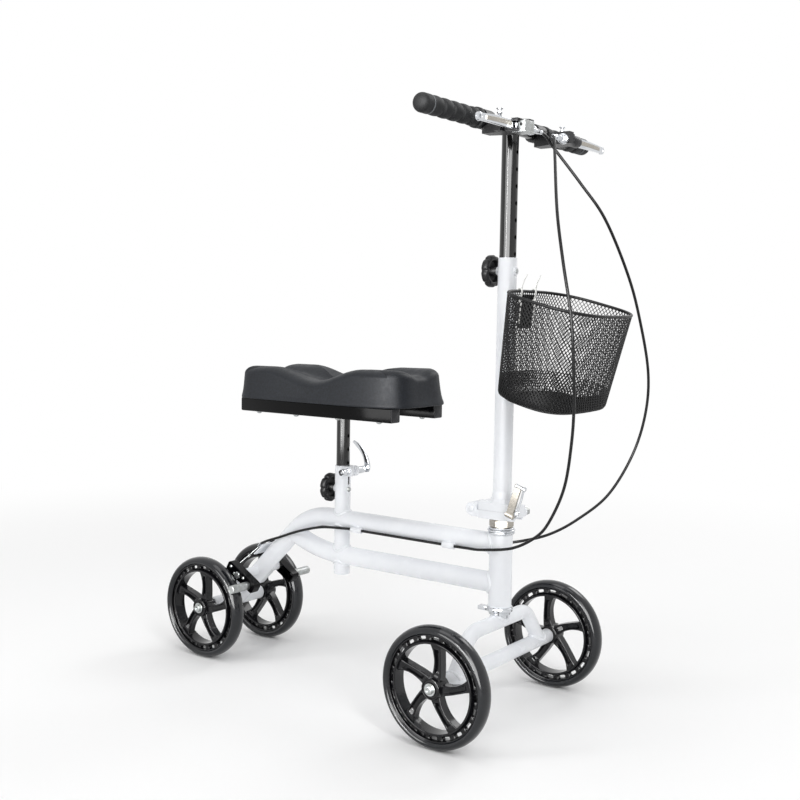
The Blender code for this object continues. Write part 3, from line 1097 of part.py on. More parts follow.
def lever_clamp(name, side):
    # Built on the left and mirrored for the right
    outline = [(FRONT_AXLE_X + x, y) for x, y in arm_outline]
    clamp = plate(name, outline, CLAMP_BODY_HEIGHT, Matrix.Translation((0, 0, LEVER_Z)))
    pivot_x = FRONT_AXLE_X + LEVER_REACH
    lock_x = FRONT_AXLE_X + LOCK_PIN_REACH
    root_half = LEVER_ROOT_HEIGHT / 2 + GAP
    join(clamp, rod(name + "_ring", CLAMP_RADIUS, bar_middle + Y_AXIS * (CLAMP_INNER - CLAMP_LIP),
                    bar_middle + Y_AXIS * (CLAMP_OUTER + CLAMP_LIP)))
    cut(clamp,
        rod(name + "_bore", BAR_RADIUS + GAP, bar_middle + Y_AXIS * (CLAMP_INNER - 0.02),
            bar_middle + Y_AXIS * (CLAMP_OUTER + 0.02)),
        block(name + "_pocket", (pivot_x - LEVER_ROOT_RADIUS - 0.001, pocket_inner, LEVER_Z - root_half),
              (pivot_x + 0.03, CLAMP_OUTER + 0.03, LEVER_Z + root_half)),
        rod(name + "_lock_hole", LOCK_PIN_RADIUS + GAP, (lock_x, LOCK_PIN_Y, body_bottom - 0.01),
            (lock_x, LOCK_PIN_Y, body_top + 0.01), 12))
    join(clamp, rod(name + "_pin", LEVER_PIN_RADIUS, (pivot_x, LEVER_PIVOT_Y, body_bottom + 0.001),
                    (pivot_x, LEVER_PIVOT_Y, body_top - 0.001), 12))
    name, bm = from_object(clamp)
    if side < 0:
        bm.transform(Matrix.Diagonal((1, -1, 1, 1)))
        bmesh.ops.reverse_faces(bm, faces=bm.faces)
    part(name, mesh_object(name, bm), GLOSSY_PLASTIC, handlebar)


def brake_lever(name, side, body):
    pivot_x = FRONT_AXLE_X + LEVER_REACH
    sections = []
    for step in range(5):
        share = step / 4
        y = side * (LEVER_BLADE_START + share * (LEVER_TIP_Y - LEVER_TIP_RADIUS * 0.6 - LEVER_BLADE_START))
        x = pivot_x + (LEVER_TIP_REACH - LEVER_REACH) * share + 0.003 * sin(pi * share)
        z = LEVER_Z - LEVER_TIP_FALL * share
        half_height = (LEVER_BLADE_HEIGHT + (LEVER_TIP_HEIGHT - LEVER_BLADE_HEIGHT) * share) / 2
        corner = LEVER_THICKNESS * 0.28
        outline = rounded_outline(LEVER_THICKNESS / 2, half_height, corner, 1)
        sections.append([(x + side * across, y, z + up) for across, up in outline])
    lever_part = part(name, loft(name, sections[::-1]), CHROME, body)
    tip = Vector((FRONT_AXLE_X + LEVER_TIP_REACH, side * (LEVER_TIP_Y - LEVER_TIP_RADIUS), LEVER_Z - LEVER_TIP_FALL))
    half = X_AXIS * LEVER_THICKNESS * 0.55
    root = Vector((pivot_x, side * LEVER_PIVOT_Y, LEVER_Z))
    root_half = Z_AXIS * LEVER_ROOT_HEIGHT / 2
    y_low, y_high = sorted((side * LEVER_PIVOT_Y, side * (LEVER_BLADE_START + 0.004)))
    join(lever_part,
         rod(name + "_tip", LEVER_TIP_RADIUS, tip - half, tip + half, 16),
         rod(name + "_root", LEVER_ROOT_RADIUS, root - root_half, root + root_half, 20),
         block(name + "_neck", (pivot_x - LEVER_THICKNESS * 0.45, y_low, LEVER_Z - LEVER_ROOT_HEIGHT * 0.47),
               (pivot_x + LEVER_THICKNESS * 0.45, y_high, LEVER_Z + LEVER_ROOT_HEIGHT * 0.47)))
    cut(lever_part,
        rod(name + "_pin_hole", LEVER_PIN_RADIUS + GAP, root - root_half * 2, root + root_half * 2, 12),
        rod(name + "_tip_hole", LEVER_TIP_RADIUS * 0.4, tip - half * 2, tip + half * 2, 8))


def lock_pin(name, side, body):
    top = body_top + LOCK_PIN_STANDS
    profile = [(0, top), (LOCK_PIN_HEAD_RADIUS, top), (LOCK_PIN_HEAD_RADIUS, top - 0.002),
               (LOCK_PIN_RADIUS, top - 0.004), (LOCK_PIN_RADIUS, top - 0.006), (LOCK_PIN_HEAD_RADIUS - 0.001, top - 0.007),
               (LOCK_PIN_HEAD_RADIUS - 0.001, top - 0.0085), (LOCK_PIN_RADIUS, top - 0.0085),
               (LOCK_PIN_RADIUS, body_bottom + 0.006), (0, body_bottom + 0.006)]
    place = (FRONT_AXLE_X + LOCK_PIN_REACH, side * LOCK_PIN_Y, 0)
    part(name, turned(name, profile, place, Z_AXIS, 10), CHROME, body)


def barrel_adjuster(name, side):
    start = CLAMP_BODY_INNER - GAP
    neck = start - BARREL_LENGTH
    profile = [(0, start), (BARREL_RADIUS - 0.001, start), (BARREL_RADIUS, start - 0.001), (BARREL_RADIUS, neck + 0.001),
               (BARREL_RADIUS - 0.001, neck), (BARREL_NECK_RADIUS, neck - 0.002), (BARREL_NECK_RADIUS, BARREL_END),
               (0, BARREL_END)]
    place = (FRONT_AXLE_X + BARREL_REACH, 0, BAR_HEIGHT - BARREL_DROP)
    part(name, turned(name, profile, place, Y_AXIS * side, 12), ZINC, handlebar)


for side_name, side in SIDES:
    part("grip_" + side_name, turned("grip_" + side_name, grip_profile(), bar_middle, Y_AXIS * side, 14),
         BLACK_RUBBER, handlebar)
    lever_clamp("lever_clamp_" + side_name, side)
    lever_body = pivot("brake_lever_pivot_" + side_name, (FRONT_AXLE_X + LEVER_REACH, side * LEVER_PIVOT_Y, LEVER_Z),
                       handlebar)
    brake_lever("brake_lever_" + side_name, side, lever_body)
    pin_body = pivot("lock_pin_slide_" + side_name, (FRONT_AXLE_X + LOCK_PIN_REACH, side * LOCK_PIN_Y, body_top),
                     handlebar)
    lock_pin("lock_pin_" + side_name, side, pin_body)
    barrel_adjuster("barrel_adjuster_" + side_name, side)

# Brake arms: pressed channels on the pivot bolt, each with a roller in front of its rear tyre
arm_slope = radians(BRAKE_ARM_SLOPE_DEG)
arm_along = Vector((cos(arm_slope), 0, -sin(arm_slope)))
arm_up = Vector((sin(arm_slope), 0, cos(arm_slope)))
arm_half = (BRAKE_ARM_TAIL + BRAKE_ARM_NOSE) / 2
roller_angle = radians(BRAKE_ROLLER_ANGLE_DEG)
roller_reach = WHEEL_RADIUS + BRAKE_ROLLER_GAP + BRAKE_ROLLER_RADIUS
roller = REAR_AXLE + Vector((cos(roller_angle), 0, sin(roller_angle))) * roller_reach
for side_name, side in SIDES:
    arm_body = pivot("brake_arm_pivot_" + side_name, BRAKE_PIVOT, frame)
    name = "brake_arm_" + side_name
    arm_place = BRAKE_PIVOT + arm_along * (BRAKE_ARM_NOSE - BRAKE_ARM_TAIL) / 2
    arm_middle = arm_place + Y_AXIS * side * (BRAKE_ARM_INNER + BRAKE_ARM_WIDTH / 2)
    corner = BRAKE_ARM_HEIGHT * 0.25
    arm = part(name, plate(name, rounded_outline(arm_half, BRAKE_ARM_HEIGHT / 2, corner), BRAKE_ARM_WIDTH,
                           facing(arm_middle, arm_along, arm_up)), BLACK_PAINT, arm_body)
    wall = BRAKE_ARM_WALL
    cut(arm,
        plate(name + "_hollow", rounded_outline(arm_half - wall, BRAKE_ARM_HEIGHT / 2 - wall, corner - wall * 0.6),
              BRAKE_ARM_WIDTH, facing(arm_middle - Y_AXIS * side * wall, arm_along, arm_up)),
        rod(name + "_pivot_hole", BRAKE_PIVOT_RADIUS + GAP, BRAKE_PIVOT, BRAKE_PIVOT + Y_AXIS * side * 0.1, 12),
        rod(name + "_stud_hole", BRAKE_STUD_RADIUS + GAP, roller, roller + Y_AXIS * side * 0.1, 12))
    roller_start = BRAKE_ARM_OUTER + GAP
    roller_end = REAR_TRACK / 2 + TYRE_WIDTH / 2 + BRAKE_ROLLER_OVERHANG
    roller_part = part("brake_roller_" + side_name,
                       rod("brake_roller_" + side_name, BRAKE_ROLLER_RADIUS, roller + Y_AXIS * side * roller_start,
                           roller + Y_AXIS * side * roller_end, 20), ZINC, arm_body)
    join(roller_part, rod("roller_stud_" + side_name, BRAKE_STUD_RADIUS,
                          roller + Y_AXIS * side * (BRAKE_ARM_OUTER - 0.006),
                          roller + Y_AXIS * side * (roller_start + 0.002), 12))


# Wheels: a round-section tyre on a rim with a slotted flange and five swept spokes
def rim_mesh():
    outer = WHEEL_RADIUS - TYRE_DEPTH - GAP
    barrel = RIM_BARREL_RADIUS + RIM_BARREL_WALL
    flange, side = RIM_FLANGE_WIDTH / 2, RIM_BARREL_WIDTH / 2
    profile = [(barrel, side), (outer, flange), (outer, -flange), (barrel, -side), (RIM_BARREL_RADIUS, -side),
               (RIM_BARREL_RADIUS, side)]
    rim = turned("rim", profile, (0, 0, 0), Y_AXIS, 28)
    rows = ((0.80, SPOKE_ROOT_WIDTH / 2), (1.6, SPOKE_ROOT_WIDTH * 0.40), (2.6, SPOKE_WAIST_WIDTH / 2),
            (3.6, SPOKE_ROOT_WIDTH * 0.42))
    sweep = radians(SPOKE_SWEEP_DEG)
    tip = RIM_BARREL_RADIUS + RIM_BARREL_WALL / 2

    def on_spoke(turn, radius, offset):
        angle = turn + sweep * (radius - HUB_RADIUS) / (tip - HUB_RADIUS)
        along, across = Vector((cos(angle), sin(angle))), Vector((-sin(angle), cos(angle)))
        return along * radius + across * offset

    outline = []
    for spoke in range(SPOKES):
        turn = 2 * pi * spoke / SPOKES
        near, far = [], []
        for share, half in rows:
            radius = HUB_RADIUS * share
            near.append(on_spoke(turn, radius, -half))
            far.append(on_spoke(turn, radius, half))
        near.append(on_spoke(turn, tip, -SPOKE_ROOT_WIDTH * 0.62))
        far.append(on_spoke(turn, tip, SPOKE_ROOT_WIDTH * 0.62))
        outline += near[1:] + far[:0:-1]
    star = plate("spokes", outline, SPOKE_THICKNESS, facing((0, 0, 0), X_AXIS, Z_AXIS))
    hub_half = Y_AXIS * HUB_WIDTH / 2
    join(rim, star, rod("hub", HUB_RADIUS, -hub_half, hub_half))
    slots = []
    slot_radius = (outer + barrel) / 2
    for slot in range(RIM_SLOTS):
        turn = Matrix.Rotation(2 * pi * (slot + 0.5) / RIM_SLOTS, 4, "Y")
        slots.append(turn @ Matrix.Translation((0, 0, slot_radius)))
    cut(rim,
        blocks("rim_slots", (RIM_SLOT_LENGTH, 0.03, RIM_SLOT_DEPTH), slots),
        rod("axle_bore", AXLE_RADIUS + RUNNING_GAP, -hub_half * 2, hub_half * 2, 12))
    return rim


def tyre_mesh():
    inner = WHEEL_RADIUS - TYRE_DEPTH
    half = TYRE_WIDTH / 2
    upper = [(inner, half - 0.0045), (WHEEL_RADIUS - 0.0080, half), (WHEEL_RADIUS - 0.0024, half * 0.70),
             (WHEEL_RADIUS, half * 0.2)]
    profile = upper[1:] + [(radius, -height) for radius, height in reversed(upper)] + upper[:1]
    return turned("tyre", profile, (0, 0, 0), Y_AXIS, 28)


rim_name, rim_form = from_object(rim_mesh())
rim_model = mesh_object("rim_model", rim_form)
tyre_model = tyre_mesh()
for end_name, x, track, body in (("front", FRONT_AXLE_X, FRONT_TRACK, steering), ("rear", REAR_AXLE_X, REAR_TRACK, frame)):
    for side_name, side in SIDES:
        place = (x, side * track / 2, WHEEL_RADIUS)
        wheel = pivot(f"wheel_{end_name}_{side_name}_pivot", place, body)
        for kind, model, finish in (("tyre", tyre_model, BLACK_TYRE), ("rim", rim_model, GLOSSY_PLASTIC)):
            copy = bpy.data.objects.new(kind, model.data.copy())
            parts.objects.link(copy)
            part(f"{kind}_{end_name}_{side_name}", copy, finish, wheel, place)
            copy.rotation_euler.z = pi if side > 0 else 0.0
for model in (rim_model, tyre_model):
    bpy.data.objects.remove(model, do_unlink=True)

# Cables. Each runs from its barrel adjuster in a free loop to the front guide, then along the frame.
# The routes are chosen by hand, in metres from the rear axle.
LOOP_RIGHT = [(0.703, -0.004, 0.980), (0.709, 0.010, 0.964), (0.745, 0.037, 0.908), (0.775, 0.070, 0.851),
              (0.790, 0.132, 0.762), (0.790, 0.186, 0.686), (0.785, 0.230, 0.597), (0.770, 0.244, 0.524),
              (0.745, 0.241, 0.450), (0.720, 0.195, 0.381), (0.690, 0.139, 0.339), (0.665, 0.094, 0.314),
              (0.640, 0.050, 0.302), (0.605, 0.028, 0.292), (0.575, 0.0205, 0.2880)]
LOOP_LEFT = [(0.713, 0.008, 0.980), (0.733, -0.017, 0.943), (0.775, -0.080, 0.853), (0.805, -0.113, 0.776),
             (0.825, -0.130, 0.700), (0.830, -0.127, 0.641), (0.820, -0.107, 0.564), (0.800, -0.074, 0.499),
             (0.775, -0.045, 0.420), (0.740, -0.034, 0.360), (0.715, -0.030, 0.330), (0.669, -0.030, 0.303),
             (0.609, -0.0275, 0.291), (0.575, -0.0205, 0.2880)]
REAR_RUN = [(0.299, 0.0185, 0.2865), (0.245, 0.0210, 0.2820), (0.192, 0.0215, 0.268), (0.140, 0.0215, 0.249),
            (0.105, 0.0190, 0.2365)]


def cable(name, route, count, body):
    # The first and last steps stay straight, so both ends stand square to what they meet.
    points = route[:1] + smooth(route[1:-1], count) + route[-1:]
    part(name, tube(name, points, CABLE_RADIUS, 6), BLACK_RUBBER, body)


for side_name, side, loop, end_side in (("left", 1, LOOP_LEFT, -1), ("right", -1, LOOP_RIGHT, 1)):
    start = Vector((FRONT_AXLE_X + BARREL_REACH, side * (BARREL_END - GAP), BAR_HEIGHT - BARREL_DROP))
    route = [start, start - Y_AXIS * side * 0.010]
    route += [(REAR_AXLE_X + x, y, z) for x, y, z in loop]
    route += [(CABLE_JOINT_X + 0.010, end_side * CABLE_SIDE, CABLE_HEIGHT),
              (CABLE_JOINT_X + GAP, end_side * CABLE_SIDE, CABLE_HEIGHT)]
    cable(f"brake_cable_{side_name}_loop", route, 34, handlebar)
    hole = stop_foot + DOWN_TUBE_UP * CABLE_STOP_HOLE_HEIGHT + Y_AXIS * end_side * CABLE_STOP_SIDE
    stop_face = hole + DOWN_TUBE * (CABLE_STOP_THICKNESS / 2 + 2 * GAP)
    route = [(CABLE_JOINT_X, end_side * CABLE_SIDE, CABLE_HEIGHT)]
    for x in (FRONT_GUIDE_X - GUIDE_LENGTH, REAR_GUIDE_X + GUIDE_LENGTH, REAR_GUIDE_X - GUIDE_LENGTH):
        route.append((x, end_side * CABLE_SIDE, CABLE_HEIGHT))
    route += [(REAR_AXLE_X + x, end_side * y, z) for x, y, z in REAR_RUN]
    route += [stop_face + DOWN_TUBE * 0.011, stop_face]
    cable(f"brake_cable_{side_name}_rear", route, 16, frame)
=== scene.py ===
# Knee walker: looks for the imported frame. +X is forward, +Z up, and the wheels stand on the floor at z = 0.
import math
import bmesh
import bpy
import numpy as np
from mathutils import Matrix, Vector


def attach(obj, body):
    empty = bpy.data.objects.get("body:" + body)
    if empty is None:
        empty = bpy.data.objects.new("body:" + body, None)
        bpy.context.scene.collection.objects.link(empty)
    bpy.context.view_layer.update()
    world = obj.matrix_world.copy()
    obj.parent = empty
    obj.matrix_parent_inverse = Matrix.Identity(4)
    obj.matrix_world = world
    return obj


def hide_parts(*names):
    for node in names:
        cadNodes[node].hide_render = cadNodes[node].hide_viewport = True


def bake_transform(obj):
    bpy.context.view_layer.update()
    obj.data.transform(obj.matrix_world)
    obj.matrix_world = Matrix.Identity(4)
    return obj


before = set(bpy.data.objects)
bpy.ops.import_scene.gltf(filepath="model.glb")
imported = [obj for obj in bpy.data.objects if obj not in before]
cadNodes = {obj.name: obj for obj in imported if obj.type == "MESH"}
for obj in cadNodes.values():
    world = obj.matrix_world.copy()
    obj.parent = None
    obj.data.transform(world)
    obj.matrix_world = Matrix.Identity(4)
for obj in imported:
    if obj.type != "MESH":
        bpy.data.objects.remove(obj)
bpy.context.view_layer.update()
scene = bpy.context.scene
scene.view_settings.view_transform = "Standard"
print("frame loaded:", len(cadNodes), "nodes")

photoCamera = {
    "place": (1.2290, -1.6148, 0.6940),
    "yaw": 0.632815,      # radians, turned left of +Y
    "pitch": 0.079574,    # radians, looking down
    "roll": 0.015950,
    "lens": 49.81,        # mm on a 36 mm wide sensor, for an 800 x 800 picture
}


def aimCamera(values):
    # the camera's three axes from yaw, pitch and roll, as the columns of its matrix
    yaw, pitch, roll = values["yaw"], values["pitch"], values["roll"]
    back = Vector((math.sin(yaw) * math.cos(pitch), -math.cos(yaw) * math.cos(pitch), math.sin(pitch)))
    right = (-back).cross(Vector((0, 0, 1))).normalized()
    up = right.cross(-back)
    right, up = (math.cos(roll) * right + math.sin(roll) * up, math.cos(roll) * up - math.sin(roll) * right)
    data = bpy.data.cameras.new("photoCamera")
    data.lens, data.sensor_width = values["lens"], 36
    data.clip_start, data.clip_end = 0.05, 60
    camera = bpy.data.objects.new("photoCamera", data)
    scene.collection.objects.link(camera)
    turn = Matrix((right, up, back)).transposed().to_4x4()
    camera.matrix_world = Matrix.Translation(values["place"]) @ turn
    scene.camera = camera


aimCamera(photoCamera)


def hexToLinear(text):
    # sRGB hex to linear light: below 0.04045 divide by 12.92, above it the 2.4 power curve
    parts = [int(text[k:k + 2], 16) / 255 for k in (1, 3, 5)]
    return tuple(c / 12.92 if c <= 0.04045 else ((c + 0.055) / 1.055) ** 2.4 for c in parts) + (1.0,)


def addNode(tree, kind, settings=None, links=None):
    # one node: a setting names an input socket or an attribute, a link feeds an input from a node or its output
    node = tree.nodes.new("ShaderNode" + kind)
    for name, value in (settings or {}).items():
        if isinstance(name, int) or name in node.inputs:
            node.inputs[name].default_value = value
        else:
            setattr(node, name, value)
    for name, source in (links or {}).items():
        tree.links.new(getattr(source, "outputs", [source])[0], node.inputs[name])
    return node


studio = {
    "floorHalf": 9.0,
    "floorColour": "#FCFCFC",
    "fadeFrom": 0.9,        # metres from the middle where the floor starts to melt into the backdrop
    "fadeTo": 2.6,
    "roomLevel": 0.57,      # light of the room on matt surfaces
    "reflectedOnly": 4,     # from this lamp on they only show as reflections in gloss
    "unreflected": 1,       # this lamp shows in no gloss
    "lamps": [              # place, looks at, width and height, watts
        ((2.6, -1.6, 2.4), (0.0, 0.0, 0.5), (0.55, 2.4), 28),
        ((-1.7, -2.9, 2.2), (0.0, 0.0, 0.5), (0.8, 2.4), 26),
        ((0.6, 3.0, 2.8), (0.0, 0.0, 0.5), (1.4, 1.4), 24),
        ((0.0, -0.3, 3.6), (0.0, 0.0, 0.0), (2.2, 2.2), 26),
        ((1.79, -2.81, 1.25), (0.2, 0.0, 0.75), (2.6, 2.6), 210),
        ((0.43, -3.20, 1.30), (0.2, 0.0, 0.75), (0.14, 2.6), 75),
        ((-0.46, -3.12, 1.30), (0.2, 0.0, 0.75), (1.5, 2.6), 75),
    ],
}


def freshTree(block):
    block.use_nodes = True
    block.node_tree.nodes.clear()
    return block.node_tree


def seenByEye(tree):
    # 1 where the camera looks, straight or through gloss or glass
    rays = addNode(tree, "LightPath")
    seen = addNode(tree, "Math", {"operation": "MAXIMUM"},
                   {0: rays.outputs["Is Camera Ray"], 1: rays.outputs["Is Glossy Ray"]})
    return addNode(tree, "Math", {"operation": "MAXIMUM"}, {0: seen, 1: rays.outputs["Is Transmission Ray"]})


def buildFloor(values):
    half = values["floorHalf"]
    mesh = bpy.data.meshes.new("studioFloor")
    mesh.from_pydata([(-half, -half, 0), (half, -half, 0), (half, half, 0), (-half, half, 0)], [], [(0, 1, 2, 3)])
    floor = bpy.data.objects.new("studioFloor", mesh)
    scene.collection.objects.link(floor)
    material = bpy.data.materials.new("palePaperFloor")  # seamless matt studio paper
    tree = freshTree(material)
    coords = addNode(tree, "TexCoord")
    distance = addNode(tree, "VectorMath", {"operation": "LENGTH"}, {0: coords.outputs["Object"]})
    fade = addNode(tree, "MapRange", {"interpolation_type": "SMOOTHSTEP", "From Min": values["fadeFrom"],
                   "From Max": values["fadeTo"]}, {"Value": distance.outputs["Value"]})
    paper = addNode(tree, "BsdfPrincipled", {"Base Color": hexToLinear(values["floorColour"]), "Roughness": 0.75,
                    "Specular IOR Level": 0.2})
    white = addNode(tree, "Emission", {"Color": (1, 1, 1, 1), "Strength": 1.0})
    share = addNode(tree, "Math", {"operation": "MULTIPLY"}, {0: seenByEye(tree), 1: fade})
    mix = addNode(tree, "MixShader", None, {0: share, 1: paper, 2: white})
    addNode(tree, "OutputMaterial", None, {"Surface": mix})
    mesh.materials.append(material)


def buildRoom(values):
    scene.world = bpy.data.worlds.new("studioRoom")
    tree = freshTree(scene.world)
    level = addNode(tree, "MapRange", {"To Min": values["roomLevel"], "To Max": 1.0}, {"Value": seenByEye(tree)})
    sky = addNode(tree, "Background", {"Color": (1, 1, 1, 1)}, {"Strength": level})
    addNode(tree, "OutputWorld", None, {"Surface": sky})
    for number, (place, target, size, watts) in enumerate(values["lamps"]):
        data = bpy.data.lights.new(f"softLamp{number}", "AREA")
        data.shape, data.energy = "RECTANGLE", watts
        data.size, data.size_y = size
        lamp = bpy.data.objects.new(f"softLamp{number}", data)
        lamp.visible_diffuse = number < values["reflectedOnly"]
        lamp.visible_glossy = number != values["unreflected"]
        scene.collection.objects.link(lamp)
        lamp.location = place
        lamp.rotation_euler = (Vector(place) - Vector(target)).to_track_quat("Z", "Y").to_euler()


buildFloor(studio)
buildRoom(studio)
print("stage and lamps ready")


# Each finish: colour and second colour in clouds of a size in mm, roughness from and to, grain and its depth in mm,
# colour and share of worn specks, specular level (None marks a metal) and material slot
finishKeys = "colour second cloud smooth rough grain depth wear wearShare specular slot".split()
finishes = {
    # gloss white stove enamel on welded steel tube: a soft clear skin, faint orange peel, a little dust
    "whiteEnamel": ("#F3F5F8", "#ECEEF2", 90, 0.20, 0.30, 3.2, 0.012, "#DCDDE0", 0.06, 0.16, "white_paint"),
    # gloss black stove enamel: deep and wet, with fine polishing haze
    "blackEnamel": ("#040405", "#08080A", 70, 0.08, 0.15, 2.6, 0.006, "#1B1B1D", 0.10, 0.13, "black_paint"),
    # the same enamel polished on the sliding tubes, where it mirrors the lamps
    "polishedEnamel": ("#0A0A09", "#0F0F0E", 60, 0.05, 0.10, 6.0, 0.0006, "#1B1B1D", 0.08, 0.55, "black_paint"),
    # bright chrome plate on turned steel: mirror with thin fingerprints
    "chromePlate": ("#D6D8DB", "#C3C6CA", 25, 0.07, 0.17, 1.2, 0.006, "#AFB2B5", 0.15, None, "chrome"),
    # passivated zinc plate: pale grey, cloudy crystals
    "zincPlate": ("#B4B7B8", "#9A9C99", 8, 0.30, 0.46, 0.9, 0.012, "#85857F", 0.2, None, "zinc_plate"),
    # satin nickel plate: warm grey, with a fine grain brushed along Z; also laid on the brake levers' fronts as a
    # painted dark reflection
    "satinNickel": ("#B3AEA6", "#9C978E", 12, 0.22, 0.36, 0.8, 0.010, "#807B73", 0.18, None, "chrome"),
    # moulded nylon of knobs and clamps: spark-eroded fine texture, drawn at 0.7 mm so that it shows
    "mouldedNylon": ("#111113", "#18181A", 30, 0.34, 0.48, 0.7, 0.030, "#2A2A2C", 0.14, 0.3, "black_plastic"),
    # polished injection moulded rims: near black with a soft shine
    "glossyNylon": ("#0E0E11", "#17171A", 40, 0.08, 0.18, 1.6, 0.008, "#2C2C30", 0.14, 0.34, "glossy_plastic"),
    # cast polyurethane tyres: smooth near black skin with faint scuffs from the floor
    "castTyre": ("#131519", "#1A1C20", 22, 0.08, 0.18, 1.1, 0.008, "#2C2C2C", 0.22, 0.50, "tyre"),
    # thermoplastic rubber grips: matt charcoal, fine pebble
    "gripRubber": ("#101113", "#17181A", 18, 0.52, 0.68, 0.9, 0.045, "#343436", 0.18, 0.3, "black_rubber"),
    # integral skin foam of the knee pad: leathery charcoal skin with small pores
    "skinFoam": ("#0E1116", "#1B1F26", 3.2, 0.42, 0.58, 2.0, 0.16, "#2A2E36", 0.20, 0.24, "pad_foam"),
    # powder coated steel mesh of the basket: fine black bark
    "powderCoat": ("#09090A", "#101012", 26, 0.36, 0.50, 0.8, 0.030, "#262627", 0.12, 0.25, "basket_wire"),
    # extruded vinyl cable jacket: satin black
    "vinylJacket": ("#0A0A0B", "#111113", 35, 0.24, 0.36, 1.0, 0.015, "#232324", 0.10, 0.3, "black_rubber"),
    # natural nylon of the basket's ties: milky white
    "milkyNylon": ("#F4F4F1", "#ECECE7", 12, 0.34, 0.46, 1.5, 0.015, "#E0DED6", 0.10, 0.5, "white_paint"),
    # pale grey ring in the groove behind each grip's cap: a painted highlight on black rubber
    "paintedHighlightGrey": ("#5E6164", "#686B6E", 12, 0.50, 0.62, 0.9, 0.030, "#7A7C7E", 0.12, 0.3, "black_rubber"),
    # charcoal polypropylene end plugs
    "plugPlastic": ("#1C1C1F", "#242427", 20, 0.40, 0.55, 0.9, 0.030, "#4C4C4F", 0.15, 0.3, "black_plastic"),
}
brushed = {"satinNickel": (1, 1, 7)}  # finishes whose grain is drawn out, by this much along each axis
made = {}


def finish(name):
    # colour clouds and worn specks over a base, a roughness that drifts, and a fine bump from real millimetres
    if name in made:
        return made[name]
    recipe = dict(zip(finishKeys, finishes[name]))
    made[name] = material = bpy.data.materials.new(name)
    tree = freshTree(material)
    coords = addNode(tree, "TexCoord")
    stretch = addNode(tree, "Mapping", {"Scale": brushed.get(name, (1, 1, 1))},
                      {"Vector": coords.outputs["Object"]})
    place = {"Vector": stretch}
    cloud = addNode(tree, "TexNoise", {"Scale": 1000 / recipe["cloud"], "Detail": 4.0, "Roughness": 0.6}, place)
    cloudShare = addNode(tree, "MapRange", {"From Min": 0.35, "From Max": 0.65}, {"Value": cloud})
    base = addNode(tree, "Mix", {"data_type": "RGBA", 6: hexToLinear(recipe["colour"]),
                   7: hexToLinear(recipe["second"])}, {0: cloudShare})
    speck = addNode(tree, "TexNoise", {"Scale": 200 / recipe["grain"], "Detail": 6.0, "Roughness": 0.72}, place)
    speckShare = addNode(tree, "MapRange", {"From Min": 0.60, "From Max": 0.78, "To Max": recipe["wearShare"] * 2},
                         {"Value": speck})
    worn = addNode(tree, "Mix", {"data_type": "RGBA", 7: hexToLinear(recipe["wear"])},
                   {0: speckShare, 6: base.outputs[2]})
    rough = addNode(tree, "MapRange", {"From Min": 0.3, "From Max": 0.7, "To Min": recipe["smooth"],
                    "To Max": recipe["rough"]}, {"Value": speck})
    grain = addNode(tree, "TexNoise", {"Scale": 1000 / recipe["grain"], "Detail": 2.0}, place)
    bump = addNode(tree, "Bump", {"Strength": 0.8, "Distance": recipe["depth"] / 1000}, {"Height": grain})
    level = recipe["specular"]
    settings = {"Metallic": 1.0} if level is None else {"IOR": 1.48, "Specular IOR Level": level}
    shader = addNode(tree, "BsdfPrincipled", settings, {"Base Color": worn.outputs[2], "Roughness": rough,
                     "Normal": bump})
    addNode(tree, "OutputMaterial", None, {"Surface": shader})
    return material


print("finishes listed:", len(finishes))


# Shapes are worked out in millimetres, and addPiece turns them to metres. A skin is (points, quads).
toMetres = 0.001
alongX, alongY, alongZ = np.eye(3)
frontX, rearX, seatX = 264.37, -367.63, -86.63  # the axles and the seat tube along the walker
axleZ = 100
sides = (("right", -1), ("left", 1))  # names, and the sign of their Y


def gridQuads(rows, columns, wrapRows=False, wrapColumns=True):
    # quads between neighbouring rows and columns of points that are numbered row by row
    i = np.arange(rows if wrapRows else rows - 1)[:, None]
    j = np.arange(columns if wrapColumns else columns - 1)[None, :]
    here, below, right = i * columns, (i + 1) % rows * columns, (j + 1) % columns
    return np.stack([here + j, here + right, below + right, below + j], -1).reshape(-1, 4)


def gridSkin(points, wrapRows=False, wrapColumns=True, close=True):
    # rows of points as a skin, with the first and last row drawn in to their middles unless the rows wrap round
    points = np.asarray(points, float)
    if close and not wrapRows:
        first, last = (np.broadcast_to(row.mean(0), (1,) + row.shape) for row in (points[0], points[-1]))
        points = np.concatenate([first, points, last])
    return points.reshape(-1, 3), gridQuads(*points.shape[:2], wrapRows, wrapColumns)


def evenPath(curve, spacing=None, count=None):
    # points at even steps of length along a line, by their spacing or their count
    curve = np.asarray(curve, float)
    along = np.concatenate([[0], np.cumsum(np.linalg.norm(np.diff(curve, axis=0), axis=1))])
    count = count or max(2, int(round(along[-1] / spacing)) + 1)
    wanted = np.linspace(0, along[-1], count)
    return np.stack([np.interp(wanted, along, curve[:, k]) for k in range(3)], 1)


def smoothPath(points, spacing):
    # Catmull-Rom through the points, even to about the given spacing
    points = np.asarray(points, float)
    ends = np.vstack([2 * points[0] - points[1], points, 2 * points[-1] - points[-2]])
    t = np.linspace(0, 1, 25)[:-1][:, None, None]
    p0, p1, p2, p3 = ends[:-3], ends[1:-2], ends[2:-1], ends[3:]
    curve = 0.5 * (2 * p1 + (p2 - p0) * t + (2 * p0 - 5 * p1 + 4 * p2 - p3) * t ** 2
                   + (3 * p1 - p0 - 3 * p2 + p3) * t ** 3)
    return evenPath(np.vstack([curve.transpose(1, 0, 2).reshape(-1, 3), points[-1:]]), spacing)


